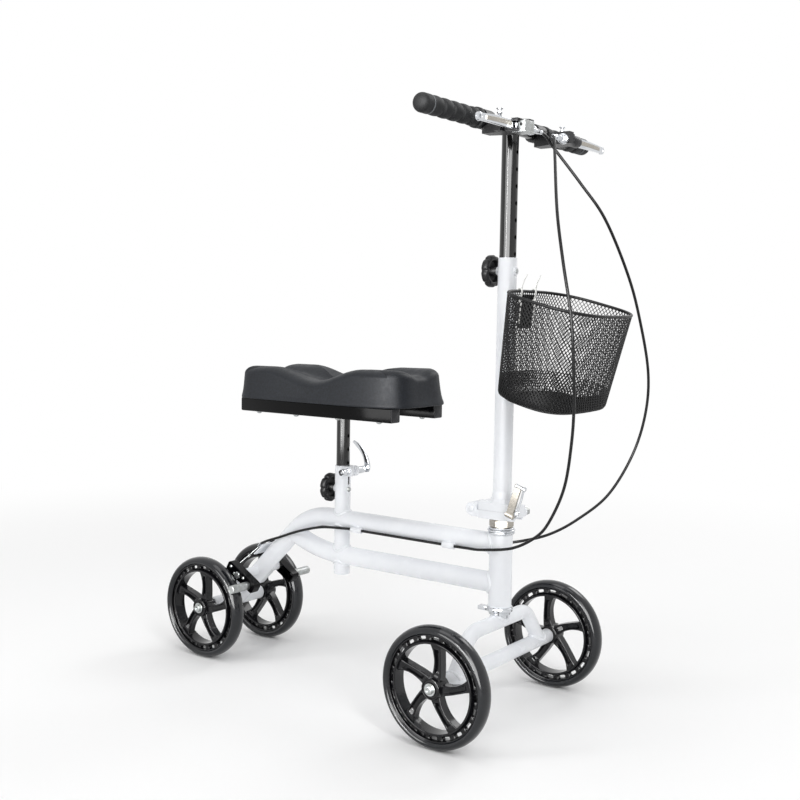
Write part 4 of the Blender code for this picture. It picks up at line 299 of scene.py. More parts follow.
def bentPath(corners, radius):
    # straight runs joined by arcs of one radius, tangent to both runs at each corner
    corners = np.asarray(corners, float)
    out = [corners[:1]]
    for a, b, c in zip(corners[:-2], corners[1:-1], corners[2:]):
        u, v = unit(a - b), unit(c - b)
        half = math.acos(float(u @ v)) / 2
        reach, turn = radius / math.tan(half), math.pi - 2 * half
        middle = b + unit(u + v) * radius / math.sin(half)
        s = np.linspace(0, 1, 24)[:, None] * turn
        out.append(middle + (np.sin(turn - s) * (b + u * reach - middle)
                             + np.sin(s) * (b + v * reach - middle)) / math.sin(turn))
    return evenPath(np.vstack(out + [corners[-1:]]), 4)


def unit(vectors):
    return vectors / np.linalg.norm(vectors, axis=-1, keepdims=True)


def circle(steps):
    angle = np.linspace(0, 2 * math.pi, steps, endpoint=False)
    return np.cos(angle), np.sin(angle)


def squareTo(axis, hint=alongY, otherHint=alongZ):
    # two unit directions square to an axis and to each other
    side = unit(np.cross(axis, hint if abs(axis @ hint) < 0.9 else otherHint))
    return side, np.cross(axis, side)


def tube(path, radius, steps=40):
    # a ring carried along the path, turned as little as possible, with its ends closed
    path = np.asarray(path, float)
    tangent = unit(np.gradient(path, axis=0))
    turnedSides = [squareTo(tangent[0])[0]]
    for one in tangent[1:]:
        turnedSides.append(unit(turnedSides[-1] - one * (turnedSides[-1] @ one)))
    across = np.array(turnedSides)
    c, s = (part[None, :, None] for part in circle(steps))
    return gridSkin(path[:, None] + radius * (c * across[:, None] + s * np.cross(tangent, across)[:, None]))


def bothEnds(half, length):
    # a turned profile that ends as it starts, from its first few points
    return half + [(length - along, radius) for along, radius in half[::-1]]


def rod(start, toward, profile, steps=40):
    # a turned part from start in the direction toward: its profile holds (mm from start, radius)
    axis = unit(np.asarray(toward, float))
    side, other = squareTo(axis)
    c, s = circle(steps)
    along, radius = np.array(profile, float).T[:, :, None, None]
    return gridSkin(np.asarray(start, float) + along * axis + radius * (c[:, None] * side + s[:, None] * other))


def hexagon(start, stop, acrossHalf, chamfer=0.7, turnBy=0.0):
    # a hexagon carried along its axis, its corners cut by a cone at both ends
    start, stop = np.asarray(start, float), np.asarray(stop, float)
    axis = unit(stop - start)
    side, other = squareTo(axis, alongZ, alongX)
    angle = np.linspace(0, 2 * math.pi, 48, endpoint=False)
    flat = (acrossHalf / np.cos((angle + turnBy + math.pi / 6) % (math.pi / 3) - math.pi / 6))[:, None]
    ring = np.cos(angle)[:, None] * side + np.sin(angle)[:, None] * other
    cut = np.minimum(flat, acrossHalf * 1.01)
    fall = ((flat - cut) * 0.55 + chamfer * 0.4) * axis
    return gridSkin([start + cut * 0.97 * ring, start + flat * ring + fall, stop + flat * ring - fall,
                     stop + cut * 0.97 * ring])


def plate(outline, low, high, edge=0.5, a=alongY, b=alongZ, c=alongX, origin=(0, 0, 0)):
    # an outline of points in a and b carried from low to high along c, its rim rounded by edge
    outline = np.asarray(outline, float)
    normal = unit(np.roll(outline, -1, 0) - outline) + unit(outline - np.roll(outline, 1, 0))
    normal = unit(np.stack([normal[:, 1], -normal[:, 0]], 1))
    area = (outline[:, 0] * np.roll(outline[:, 1], -1) - outline[:, 1] * np.roll(outline[:, 0], -1)).sum()
    inward = outline - np.sign(area) * normal * edge
    soft = 0.3 * inward + 0.7 * outline
    rings = [(inward, low), (soft, low + 0.3 * edge), (outline, low + edge),
             (outline, high - edge), (soft, high - 0.3 * edge), (inward, high)]
    a, b, c = (np.asarray(v, float) for v in (a, b, c))
    return gridSkin([origin + flat[:, :1] * a + flat[:, 1:] * b + height * c for flat, height in rings])


def rounded(corners, radius, steps=6):
    # corners of a closed outline, each replaced by a short curve that touches both its sides
    corners = np.asarray(corners, float)
    out = []
    for a, b, c in zip(np.roll(corners, 1, 0), corners, np.roll(corners, -1, 0)):
        u, v = a - b, c - b
        reach = min(radius, 0.45 * np.linalg.norm(u), 0.45 * np.linalg.norm(v))
        t = np.linspace(0, 1, steps)[:, None]
        out.append((1 - t) ** 2 * (b + unit(u) * reach) + 2 * t * (1 - t) * b + t ** 2 * (b + unit(v) * reach))
    return np.vstack(out)


def box(lowA, lowB, highA, highB):
    return [(lowA, lowB), (highA, lowB), (highA, highB), (lowA, highB)]


def around(section, steps=80, x=0, y=0):
    # a closed section of (radius, height) points carried once round an upright axis
    radius, height = np.array(section, float).T
    c, s = (part[:, None] for part in circle(steps))
    return gridSkin(np.stack([x + radius * c, y + radius * s, height + 0 * c], -1), wrapRows=True)


def bead(line, size, steps=12):
    # a ring of the given size carried round a closed line, such as a weld's soft fillet under the paint
    tangent = unit(np.roll(line, -1, 0) - np.roll(line, 1, 0))
    side = line - line.mean(0)
    side = unit(side - tangent * (side * tangent).sum(1, keepdims=True))
    other = np.cross(tangent, side)
    c, s = (part[None, :, None] for part in circle(steps))
    return gridSkin(line[:, None] + size * (c * side[:, None] + s * other[:, None]), wrapRows=True)


def blade(left, right, normal, thickness):
    # a flat bar between two edge lines, its rounded section carried from one end to the other
    left, right = (evenPath(smoothPath(line, 1), count=44) for line in (left, right))
    across = np.array([-1, -0.93, -0.72, 0.72, 0.93, 1, 1, 0.93, 0.72, -0.72, -0.93, -1])
    face = np.array([-0.5, -0.88, -1, -1, -0.88, -0.5, 0.5, 0.88, 1, 1, 0.88, 0.5])
    thick = np.broadcast_to(np.asarray(thickness, float), (44,))
    return gridSkin((left + right)[:, None] / 2 + across[None, :, None] * (right - left)[:, None] / 2
                    + (face[None] * thick[:, None] / 2)[:, :, None] * np.asarray(normal, float))


def shade(mesh, finishName, sharp):
    # smooth shading up to the sharp angle, in one finish
    mesh.polygons.foreach_set("use_smooth", np.ones(len(mesh.polygons), bool))
    mesh.set_sharp_from_angle(angle=math.radians(sharp))
    mesh.materials.clear()
    mesh.materials.append(finish(finishName))


def hang(mesh, body, replaced, bevel=0):
    # the mesh as a piece that rides on its body, its sharp edges softened by the bevel
    piece = bpy.data.objects.new(mesh.name, mesh)
    scene.collection.objects.link(piece)
    if bevel:
        soften = piece.modifiers.new("soften", "BEVEL")
        soften.width, soften.segments, soften.limit_method = bevel * toMetres, 2, "ANGLE"
        soften.angle_limit, soften.harden_normals = math.radians(32), True
    if replaced:
        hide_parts(*replaced)
    if body:
        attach(piece, body)
    return piece


def joined(name, skins, weld=1e-6):
    # the skins as one mesh, with doubles merged and faces turned outward
    skins = skins if isinstance(skins, list) else [skins]
    offsets = np.cumsum([0] + [len(p) for p, q in skins[:-1]])
    points = np.vstack([p for p, q in skins]) * toMetres
    quads = np.vstack([q + offset for (p, q), offset in zip(skins, offsets)])
    mesh = bpy.data.meshes.new(name)
    mesh.from_pydata(points.tolist(), [], quads.tolist())
    work = bmesh.new()
    work.from_mesh(mesh)
    bmesh.ops.remove_doubles(work, verts=work.verts, dist=weld)
    bmesh.ops.recalc_face_normals(work, faces=work.faces)
    work.to_mesh(mesh)
    work.free()
    return mesh


def addPiece(name, skins, finishName, body, replaced=(), sharp=35, weld=1e-6):
    mesh = joined(name, skins, weld)
    shade(mesh, finishName, sharp)
    return hang(mesh, body, replaced)


def drill(piece, x, heights, radius, reach):
    # takes round holes along X out of a standing tube, with bits that reach this far to both sides
    bits = [rod((x - reach, 0, z), alongX, [(0, radius), (2 * reach, radius)], 28) for z in heights]
    cutter = bpy.data.objects.new("drillBits", joined("drillBits", bits))
    scene.collection.objects.link(cutter)
    cut = piece.modifiers.new("cut", "BOOLEAN")
    cut.object, cut.operation, cut.solver = cutter, "DIFFERENCE", "EXACT"
    mesh = bpy.data.meshes.new_from_object(piece.evaluated_get(bpy.context.evaluated_depsgraph_get()))
    piece.modifiers.clear()
    mesh.name = piece.name
    mesh.polygons.foreach_set("material_index", np.zeros(len(mesh.polygons), np.int32))
    shade(mesh, piece.data.materials[0].name, 35)
    piece.data = mesh
    bpy.data.objects.remove(cutter)


def dressCopy(node, finishName, body, bevel):
    # a merged copy of a CAD node's own solid with softened edges, for flat milled and pressed parts
    mesh = cadNodes[node].data.copy()
    mesh.name = node + "_skin"
    work = bmesh.new()
    work.from_mesh(mesh)
    bmesh.ops.remove_doubles(work, verts=work.verts, dist=2e-6)
    bmesh.ops.dissolve_limit(work, angle_limit=math.radians(1.0), verts=work.verts, edges=work.edges)
    work.to_mesh(mesh)
    work.free()
    shade(mesh, finishName, 32)
    hang(mesh, body, [node], bevel)


wheel = {
    "tyre": [(86.2, -10.5), (88.6, -13.8), (92.0, -14.9), (95.3, -13.1), (97.9, -9.7), (99.5, -5.0),
             (100, 0)],   # radius and place along the axle, up to the middle of the tread
    "barrel": [(71.6, -13), (75.2, -13), (77, -6), (77, 6), (75.2, 13), (71.6, 13)],
    "lip": [(84.2, -10.1), (86.6, -11), (86.6, 11), (84.2, 10.1)],
    "slots": 20, "slotHalf": (7.8, 2.7), "slotRadius": 80.7, "slotRing": (74.2, 86.2, 5.2),  # ring from, to, half
    "spokes": 5, "sweep": 16, "spokeHalf": 8.5, "groove": 5, "grooveEnds": (21.5, 65.5),
    "spokeRadii": [14, 28, 45.5, 63, 73.8], "spokeWidths": [9.25, 7.4, 6.25, 7.77, 11.47],
    "hub": 17.5,
    "hubHalf": [(6, 18.2), (12.5, 17.6), (14.6, 17), (15.3, 15.8), (15, 15), (13.5, 14.5), (13.5, 10.8), (15.5, 10),
                (15.5, 0)],   # place along the axle and radius, from near the hub's middle outwards
    "race": [(10.4, 13), (14.2, 13), (14.2, 14.35), (13.6, 14.65), (11.2, 14.65), (10.4, 14.2)],
}


def roundWheel(section, steps=112):
    # a closed section of (radius, place along Y) points carried once round the axle
    points, quads = around(section, steps)
    return points[:, [0, 2, 1]], quads


def tyreSkin(values):
    # the tread's half section smoothed and mirrored, closed along the rim
    half = np.array(values["tyre"])
    whole = np.vstack([half, (half * [1, -1])[-2::-1]])
    smooth = smoothPath(np.column_stack([whole, 0 * whole[:, 0]]), 1.6)[:, :2]
    return roundWheel(np.vstack([smooth, [(85.6, 9.8), (85.6, -9.8)]]))


def slottedRing(values):
    # a flat ring in cells, one to a slot: rows of points run from a cell's edge in to its oval slot and through
    count, middle = values["slots"], values["slotRadius"]
    inner, outer, half = values["slotRing"]
    side, one = np.linspace(-1, 1, 7)[:-1], np.ones(6)
    a, b = np.concatenate([side, one, -side, -one]), np.concatenate([-one, side, one, -side])
    edgeT = a * math.pi / count
    edgeR = middle + b * np.where(b < 0, middle - inner, outer - middle)
    oval = np.stack([a, b]) / np.hypot(a, b)
    along, across = values["slotHalf"]
    square = np.sign(oval) * np.abs(oval) ** 0.45  # fuller than an ellipse, close to a slot with round ends
    slotT, slotR = square[0] * along / middle, middle + square[1] * across
    lipT, lipR = slotT * 1.16, middle + (slotR - middle) * 1.30
    rows = [(edgeT, edgeR, half), (lipT, lipR, half), (slotT, slotR, half - 0.8), (slotT, slotR, 0.8 - half),
            (lipT, lipR, -half), (edgeT, edgeR, -half)]
    t, r, y = (np.array([np.broadcast_to(row[k], a.shape) for row in rows]) for k in range(3))
    t = t + (np.arange(count) * 2 * math.pi / count)[:, None, None]
    points = np.stack([r * np.cos(t), y + 0 * t, r * np.sin(t)], -1)
    rim = np.concatenate([np.arange(0, 6), np.arange(12, 18)])
    wall = np.stack([rim, (rim + 1) % 24, 120 + (rim + 1) % 24, 120 + rim], 1)
    cell = np.vstack([gridQuads(6, 24), wall])
    return points.reshape(-1, 3), (cell[None] + (np.arange(count) * 144)[:, None, None]).reshape(-1, 4)


def spokeSkin(values, number):
    # a grooved section carried outwards while it turns back by the sweep, wide at the hub and at the rim
    radii = values["spokeRadii"]
    reach = np.linspace(radii[0], radii[-1], 26)
    width = np.interp(reach, radii, values["spokeWidths"])
    width = np.convolve(np.pad(width, 2, mode="edge"), np.ones(5) / 5, "valid")
    share = (reach - values["hub"]) / (radii[-1] - values["hub"])
    angle = number * 2 * math.pi / values["spokes"] + math.radians(values["sweep"]) * share
    across = np.array([-1, -1, -0.93, -0.80, -0.62, -0.52, -0.46, -0.2, 0.2, 0.46, 0.52, 0.62, 0.80, 0.93, 1, 1])
    drop = np.array([1.6, 0.8, 0.25, 0, 0, 0.2, 1, 1, 1, 1, 0.2, 0, 0, 0.25, 0.8, 1.6])
    low, high = values["grooveEnds"]
    ends = np.clip(np.minimum(reach - low, high - reach) / 6, 0, 1)[:, None]
    depth = np.where(np.abs(across) < 0.6, drop * values["groove"] * (ends * ends * (3 - 2 * ends)), drop * 1.2)
    face = values["spokeHalf"] - depth
    w = np.concatenate([across, across[::-1]]) * width[:, None]
    y = np.concatenate([face, -face[:, ::-1]], 1)
    reach, c, s = reach[:, None], np.cos(angle)[:, None], np.sin(angle)[:, None]
    return gridSkin(np.stack([reach * c - w * s, y, reach * s + w * c], -1))


def buildWheels(values):
    half = values["hubHalf"]
    hub = [(-along, radius) for along, radius in half[::-1]] + half
    rim = [slottedRing(values), roundWheel(rounded(values["barrel"], 1.4, 5)),
           roundWheel(rounded(values["lip"], 0.8, 4)), rod((0, 0, 0), alongY, hub, 64)]
    rim += [spokeSkin(values, k) for k in range(values["spokes"])]
    race = [roundWheel([(r, y * sign) for r, y in values["race"]], 48) for sign in (-1, 1)]
    for place, x, track in (("front", frontX, 192), ("rear", rearX, 88)):
        for side, sign in sides:
            end = f"{place}_{side}"
            # the left wheels are the right ones turned half a turn about Z
            stand = lambda skins: [(p * [-sign, -sign, 1] + [x, sign * track, axleZ], q) for p, q in skins]
            addPiece(f"tyreTread_{end}", stand([tyreSkin(values)]), "castTyre", f"wheel_{end}", [f"tyre_{end}"])
            addPiece(f"rimMoulding_{end}", stand(rim), "glossyNylon", f"wheel_{end}", [f"rim_{end}"], sharp=40)
            addPiece(f"bearingSeal_{end}", stand(race), "mouldedNylon", f"wheel_{end}")


buildWheels(wheel)


axles = {
    "hubHalf": 15.8,
    "washer": bothEnds([(0, 5), (0, 9.9), (0.3, 10.2)], 1.5),
    "capHead": [(0, 6.6), (0.3, 7), (4, 7), (4.7, 6.5), (5, 5.6), (5, 4), (4.5, 3.6), (1.8, 3.4), (1.4, 0)],
}


def buildAxle(values, name, body, x, track, tubeEnd):
    # a rod through both hubs with washers, cap heads with a round socket, and spacers up to the frame's tube
    hubOut, hubIn = track / 2 + values["hubHalf"], track / 2 - values["hubHalf"]
    skins = [rod((x, -hubOut - 4, axleZ), alongY, [(0, 4.5), (2 * hubOut + 8, 4.5)], 24)]
    for sign in (-1, 1):
        outward = sign * alongY
        skins.append(rod((x, sign * hubOut, axleZ), outward, values["washer"], 48))
        skins.append(rod((x, sign * (hubOut + 1.3), axleZ), outward, values["capHead"], 48))
        gap = hubIn - tubeEnd
        skins.append(rod((x, sign * (tubeEnd - 1), axleZ), outward, [(0, 8), (gap + 0.8, 8), (gap + 1, 7.6)], 32))
    addPiece(f"{name}Hardware", skins, "zincPlate", body, [name], sharp=32)


buildAxle(axles, "front_axle", "fork", frontX, 384, 175)
buildAxle(axles, "rear_axle", "frame", rearX, 176, 69)
print("wheels and axles built")


weldedFrame = {
    "mainTube": 17.5, "headTube": 20, "upperHeight": 300, "lowerHeight": 231, "upperBend": 120, "axleTube": 14.3,
    "seatTube": (15, 13), "seatTop": 403, "slotFrom": 367, "slotHalf": 3, "knobHeight": 358,
    "bead": 3.6,          # size of a weld's soft fillet under the paint
    "guidesAt": (96, 302),    # cable guides, behind the head tube's axis
    "guide": bothEnds([(0, 3), (0, 5.1), (0.6, 5.5)], 24),
    "guideFoot": [(-2, 4), (2, 4.8), (5, 6.2)],
    "brakeBoss": bothEnds([(0, 7), (0.6, 8.8), (1.4, 9)], 94.4),
    "headSleeve": [(15.2, 192.2), (19, 192), (19.8, 192.6), (20, 193.6), (20, 316.4), (19.8, 317.4), (19, 318),
                   (15.2, 317.8)],    # radius and height, both ends rolled over
    "knobBoss": [(0, 9), (2, 8.2), (3.4, 7.9), (3.7, 7.2), (3.7, 4)],
    "axleSleeve": bothEnds([(0, 10), (0, 13.2), (0.4, 14), (1.2, 14.3)], 138),
}
# the upper tube where it slopes down to the rear
tubeAxis, tubeNormal = 0.70711 * (alongX + alongZ), 0.70711 * (alongZ - alongX)
rearAxle = np.array([rearX, 0, axleZ])
brakePivot = np.array([-297.13, 0, 170.5])
fullTurn = np.linspace(0, 2 * math.pi, 64, endpoint=False)


def lyingTube(path, values, height):
    # a tube with its front end cut to the head tube, x = centre less the root of R squared less y squared, and weld
    r, head = values["mainTube"], values["headTube"]
    points, quads = tube(path, r, 56)
    rows = points.reshape(-1, 56, 3)
    y = np.clip(np.abs(rows[-2, :, 1]) / head, 0, 0.999)
    rows[-2, :, 0] = frontX - (head * np.sqrt(1 - y * y) - 1.2)
    rows[-1] = rows[-2].mean(0)
    y = r * np.cos(fullTurn)
    x = frontX - np.sqrt(head ** 2 - y ** 2)
    return [(rows.reshape(-1, 3), quads), bead(np.stack([x, y, height + r * np.sin(fullTurn)], 1), values["bead"])]


def buildFrameTubes(values):
    high, low = values["upperHeight"], values["lowerHeight"]
    upper = bentPath([rearAxle + tubeAxis * 4, (rearX + 200, 0, high), (frontX - 5, 0, high)], values["upperBend"])
    back = np.linspace(120.89, 0, 40)
    curve = np.stack([rearX + 280 - back, 0 * back, low + back * back / 520], 1)
    lower = evenPath(np.vstack([curve, [(frontX - 5, 0, low)]]), 5)
    skins = lyingTube(upper, values, high)
    details = []
    for x in (frontX - behind for behind in values["guidesAt"]):
        for sign in (-1, 1):
            details.append(rod((x - 12, sign * 18, 287), alongX, values["guide"], 32))
            details.append(rod((x, sign * 15.5, 289.5), (0, -sign, 1), values["guideFoot"], 24))
    details.append(rod(brakePivot - alongY * 47.2, alongY, values["brakeBoss"]))
    addPiece("upperTubeWelded", skins[:1] + details + skins[1:], "whiteEnamel", "frame", ["upper_tube"])
    addPiece("lowerTubeWelded", lyingTube(lower, values, low), "whiteEnamel", "frame", ["lower_tube"])
    addPiece("headTubeSleeve", around(values["headSleeve"], 96, frontX), "whiteEnamel", "frame", ["head_tube"])


def buildSeatTube(values):
    # a full ring up to the slot, and above it a C-shaped section that stays open to the front
    outer, inner = values["seatTube"]
    top, slot, r = values["seatTop"], values["slotFrom"], values["mainTube"]
    skins = [around([(inner, 195.5), (outer - 0.6, 195), (outer, 195.7), (outer, slot), (inner, slot)], 80, seatX)]
    gap = math.asin(values["slotHalf"] / outer)
    sweep = np.linspace(gap, 2 * math.pi - gap, 72)[:, None]
    radius, height = np.array([(inner, slot - 1), (outer, slot - 1), (outer, top - 0.8), (outer - 0.8, top),
                               (inner + 0.4, top), (inner, top - 0.4)]).T
    rings = np.stack([seatX + radius * np.cos(sweep), radius * np.sin(sweep), height + 0 * sweep], -1)
    skins.append(gridSkin(rings))
    for sign in (-1, 1):   # clamp ears beside the slot, rounded at their free corners, with their roots
        for low, high, corner, steps, far, edge in (((13, 384), (30, 403), 7.8, 8, 12, 0.8),
                                                    ((10, 384.5), (17.5, 402.5), 1, 3, 11.6, 0.6)):
            outline = rounded(box(seatX + low[0], low[1], seatX + high[0], high[1]), corner, steps)
            skins.append(plate(outline, 3, far, edge, alongX, alongZ, sign * alongY))
    skins.append(rod((seatX - 13.5, 0, values["knobHeight"]), -alongX, values["knobBoss"], 32))
    x, y = outer * np.cos(fullTurn), outer * np.sin(fullTurn)
    for height in (values["upperHeight"], values["lowerHeight"]):
        for sign in (-1, 1):   # beads where the tube passes through a lying one of a larger radius
            z = height + sign * np.sqrt(r * r - y * y)
            skins.append(bead(np.stack([seatX + x, y, z], 1), values["bead"] * 0.8))
    addPiece("seatTubeWelded", skins, "whiteEnamel", "frame", ["seat_tube"])


def buildRearAxleTube(values):
    r = values["mainTube"]
    sleeve = rod(rearAxle - alongY * 69, alongY, values["axleSleeve"], 56)
    lift = np.sqrt(np.maximum(values["axleTube"] ** 2 - (r * np.sin(fullTurn)) ** 2, 36))
    weld = (rearAxle + np.outer(r * np.cos(fullTurn) * 0.985, alongY)
            + np.outer(r * np.sin(fullTurn) * 0.80, tubeNormal) + np.outer(lift, tubeAxis))
    addPiece("rearAxleTubeWelded", [sleeve, bead(weld, 3)], "whiteEnamel", "frame", ["rear_axle_tube"])


buildFrameTubes(weldedFrame)
buildSeatTube(weldedFrame)
buildRearAxleTube(weldedFrame)
dressCopy("brake_bracket", "whiteEnamel", "frame", 0.7)
print("frame built")


fork = {
    "tube": 12.7, "bend": 40, "archTop": 165.5, "archShoulder": 90, "archHalf": 141, "axleHalf": 175, "axleBore": 9.8,
    "steerer": 14.3, "bead": 3.2,
    "lowerCup": [(15.2, 178.7), (18, 178.7), (18.7, 179.3), (18.7, 182.8), (21.4, 183.4), (22.5, 184.4), (22.9, 186),
                 (22.9, 189.6), (22.5, 190.6), (21.6, 191), (21.6, 192.6), (15.2, 192.6)],   # radius and height
    "upperCup": [(15.2, 318.1), (21.2, 318.2), (21.5, 318.4), (21.5, 319), (22.6, 319.4), (23.2, 320.1),
                 (23.2, 321.7), (22.7, 322.3), (21.8, 322.6), (21.8, 323.3), (23.4, 323.7), (24.1, 324.4),
                 (24.1, 325.8), (23.5, 326.6), (22.8, 326.9), (15.2, 326.9)],
    "washer": [(0, 15.2), (0, 21.4), (0.5, 22), (2.4, 22), (3, 21.4), (3, 15.2)],
}


def buildFork(values):
    r, half, s = values["tube"], values["axleHalf"], values["steerer"]
    arch = bentPath([(frontX, y, z) for y, z in (
        (-values["archHalf"], axleZ), (-values["archShoulder"], values["archTop"]),
        (values["archShoulder"], values["archTop"]), (values["archHalf"], axleZ))], values["bend"])
    rim = [(0, values["axleBore"]), (0, r - 1.2), (0.4, r - 0.4), (1.2, r)]
    cross = [rod((frontX, -half, axleZ), alongY, bothEnds(rim, 2 * half), 56)]
    x, y = r * np.cos(fullTurn) * 0.999, r * np.sin(fullTurn)
    for sign in (-1, 1):      # beads where the arch's legs stand on the axle tube
        leg = unit(np.array([0, sign * 51, -65.5]))
        ring = [frontX, sign * values["archHalf"], axleZ] + np.outer(x, alongX) + np.outer(y, np.cross(alongX, leg))
        back = (ring[:, 2] - axleZ - np.sqrt(np.maximum(r * r - x * x, (0.25 * r) ** 2))) / leg[2]
        cross.append(bead(ring - back[:, None] * leg, values["bead"]))
    # the bead under the steerer, where it stands on the arch
    x, y = s * np.cos(fullTurn), s * np.sin(fullTurn)
    z = values["archTop"] + np.sqrt(np.maximum(r * r - np.minimum(np.abs(x), r * 0.999) ** 2, 10))
    foot = bead(np.stack([frontX + x, y, z], 1), values["bead"])
    addPiece("forkArchWelded", [tube(arch, r, 48), foot], "whiteEnamel", "fork", ["fork_arch"])
    addPiece("forkAxleTube", cross, "whiteEnamel", "fork", ["front_axle_tube"])
    shaft = [(0, s - 2), (0, s), (172, s), (173.8, s - 1), (174.1, s - 2.2)]
    addPiece("steererShaft", rod((frontX, 0, 169.5), alongZ, shaft, 48), "chromePlate", "fork", ["steerer_tube"])


def buildHeadset(values):
    # the lower cup with the block that stops the steering, the upper cup, a washer and the lock nut
    stop = plate(rounded(box(-6, 180.5, 6, 187.5), 0.8, 3), frontX - 41, frontX - 19, 0.6)
    addPiece("lowerCup", [around(values["lowerCup"], 96, frontX), stop], "chromePlate", "frame",
             ["headset_lower_cup"], sharp=30)
    addPiece("upperCup", around(values["upperCup"], 96, frontX), "chromePlate", "frame", ["headset_upper_cup"],
             sharp=30)
    washer = rod((frontX, 0, 327.2), alongZ, values["washer"], 64)
    addPiece("headsetWasher", washer, "chromePlate", "fork", sharp=30)
    nut = hexagon((frontX, 0, 330.1), (frontX, 0, 343.6), 18, 1, math.pi / 6)
    addPiece("headsetNut", nut, "satinNickel", "fork", ["headset_lock_nut"], sharp=30)


buildFork(fork)
buildHeadset(fork)


foldJoint = {
    "pin": (214.37, 358.05), "lug": (296.37, 357.05),   # x and z of the hinge pin and of the clamping skewer
    "pinHead": [(0, 3.4), (0.4, 4.8), (1.2, 5.1), (2, 4.5), (2.4, 2.8), (2.4, 0)],
    # the skewer's parts along Y: where each starts, which way it runs, its profile and its steps
    "skewer": [(-30, 1, bothEnds([(0, 3), (0.3, 3.3)], 62), 24),
               (-18.3, -1, [(0, 3.4), (0, 6.7), (0.4, 7), (2.6, 7), (3, 6.6), (3, 3.4)], 32),
               (18.1, 1, [(0, 3.4), (0, 7.4), (1.2, 7.4), (1.4, 3.4)], 32),
               (28.9, 1, [(0, 5.2), (0.8, 4.8), (1.4, 3.6), (1.4, 0)], 32)],
    "leverLean": 18, "leverLength": 52.5, "leverY": -27.6,
    "curl": bothEnds([(0, 2.2), (0.5, 3), (1.2, 3.2)], 14), "drum": bothEnds([(0, 4), (0.6, 4.8)], 16),
    "crossPin": [(0, 3), (0.5, 4.3), (1.4, 4.6), (2.4, 4.3), (2.8, 3.2), (15, 3.2), (15.4, 4.3), (16.4, 4.6),
                 (18.2, 4.3), (18.8, 3)],
    "linkPin": bothEnds([(0, 2.6), (0.6, 3.4)], 10),
}


def buildFoldJoint(values):
    dressCopy("fold_base", "whiteEnamel", "fork", 1.1)
    dressCopy("fold_head", "whiteEnamel", "column", 1.1)
    x, z = values["pin"]
    heads = [rod((x, sign * 18.6, z), sign * alongY, values["pinHead"], 32) for sign in (-1, 1)]
    addPiece("hingePinHeads", heads, "whiteEnamel", "fork", sharp=45)
    x, z = values["lug"]
    skewer = [rod((x, y, z), sign * alongY, profile, steps) for y, sign, profile, steps in values["skewer"]]
    skewer.insert(3, hexagon((x, 19.3, z), (x, 29, z), 6.4, 0.6))
    addPiece("foldSkewerSet", skewer, "zincPlate", "fork", ["fold_skewer"], sharp=32)


def buildFoldLever(values):
    # a strap: wide flat section carried up the lever, thicker at the drum, curled over at the top
    lean = math.radians(values["leverLean"])
    up = math.sin(lean) * alongX + math.cos(lean) * alongZ
    ahead = math.cos(lean) * alongX - math.sin(lean) * alongZ
    start = np.array([values["lug"][0], values["leverY"], values["lug"][1]])
    t = np.linspace(0, 1, 40)[:, None, None]
    bulge = np.sin(math.pi * t)
    across = np.array([-1, -0.9, -0.4, 0.4, 0.9, 1, 1, 0.9, 0.4, -0.4, -0.9, -1])[:, None]
    face = np.array([-0.5, -1, -1, -1, -1, -0.5, 0.5, 1, 1, 1, 1, 0.5])[:, None]
    rings = (start + t * values["leverLength"] * up + (7 - t + 0.3 * bulge) * across * ahead
             + (2 * face - 1.6 * bulge) * alongY)
    curl = start + up * values["leverLength"]
    strap = [gridSkin(rings), rod(curl - ahead * 7, ahead, values["curl"], 24),
             rod(start - ahead * 8, ahead, values["drum"], 32)]
    addPiece("foldLeverStrap", strap, "satinNickel", "fold_lever", ["fold_lever"], sharp=40)
    # the turned pin through the curl and the link that hangs from it beside the strap, down to a cross pin
    link = smoothPath([curl + ahead * 10, curl + ahead * 11.2 - up * 10, start + ahead * 12 + up * 18,
                       start + ahead * 11.8 + up * 8], 1.5)
    addPiece("foldLeverLink", [tube(link, 1.9, 20), rod(curl - ahead * 5, ahead, values["crossPin"], 32),
                               rod(link[-1] - alongY * 5, alongY, values["linkPin"], 28)],
             "chromePlate", "fold_lever", sharp=40)


buildFoldJoint(foldJoint)
buildFoldLever(foldJoint)
print("fork and folding joint built")


kneeRest = {
    "post": (12.7, 10.8), "postFrom": 205, "postTo": 520.9, "holeRadius": 3.5, "holePitch": 25.4,
    "topHalf": 45,
    # the plate under the rails and its lips: extent in y and z, corner radius, its steps, soft edge
    "topPlate": [((-53, 519.9, 53, 524.9), 2, 4, 0.8), ((-53, 499.5, -50, 523.9), 1, 3, 0.6),
                 ((50, 499.5, 53, 523.9), 1, 3, 0.6)],
    "railX": (-277.63, 84.37), "railMiddle": (66, 512.2), "railHalf": 12.7, "screwsAt": (0.10, 0.36, 0.64, 0.90),
    "screw": [(0, 0), (0, 5.6), (1, 5.8), (2.4, 5.2), (3.8, 4), (4.6, 2.4), (4.9, 0)],
    "padBottom": 525.2, "padX": -83.63, "padHalf": (186, 95), "padEdge": 16, "padSlim": 8,
    # the pad's side from its rounded shoulder down: share of the height, share of the drawing in
    "padSide": [(1, 1), (0.86, 0.91), (0.70, 0.80), (0.50, 0.64), (0.34, 0.47), (0.22, 0.28), (0.14, 0.12),
                (0.09, 0.03), (0.05, 0), (0.02, 0.02), (0, 0.14)],
}


def postSkin(x, outer, inner, low, high, steps):
    # a standing tube with a chamfered foot
    foot = [(inner, low + 0.4), (outer - 0.6, low), (outer, low + 0.6)]
    return around(foot + [(outer, high), (inner, high)], steps, x)


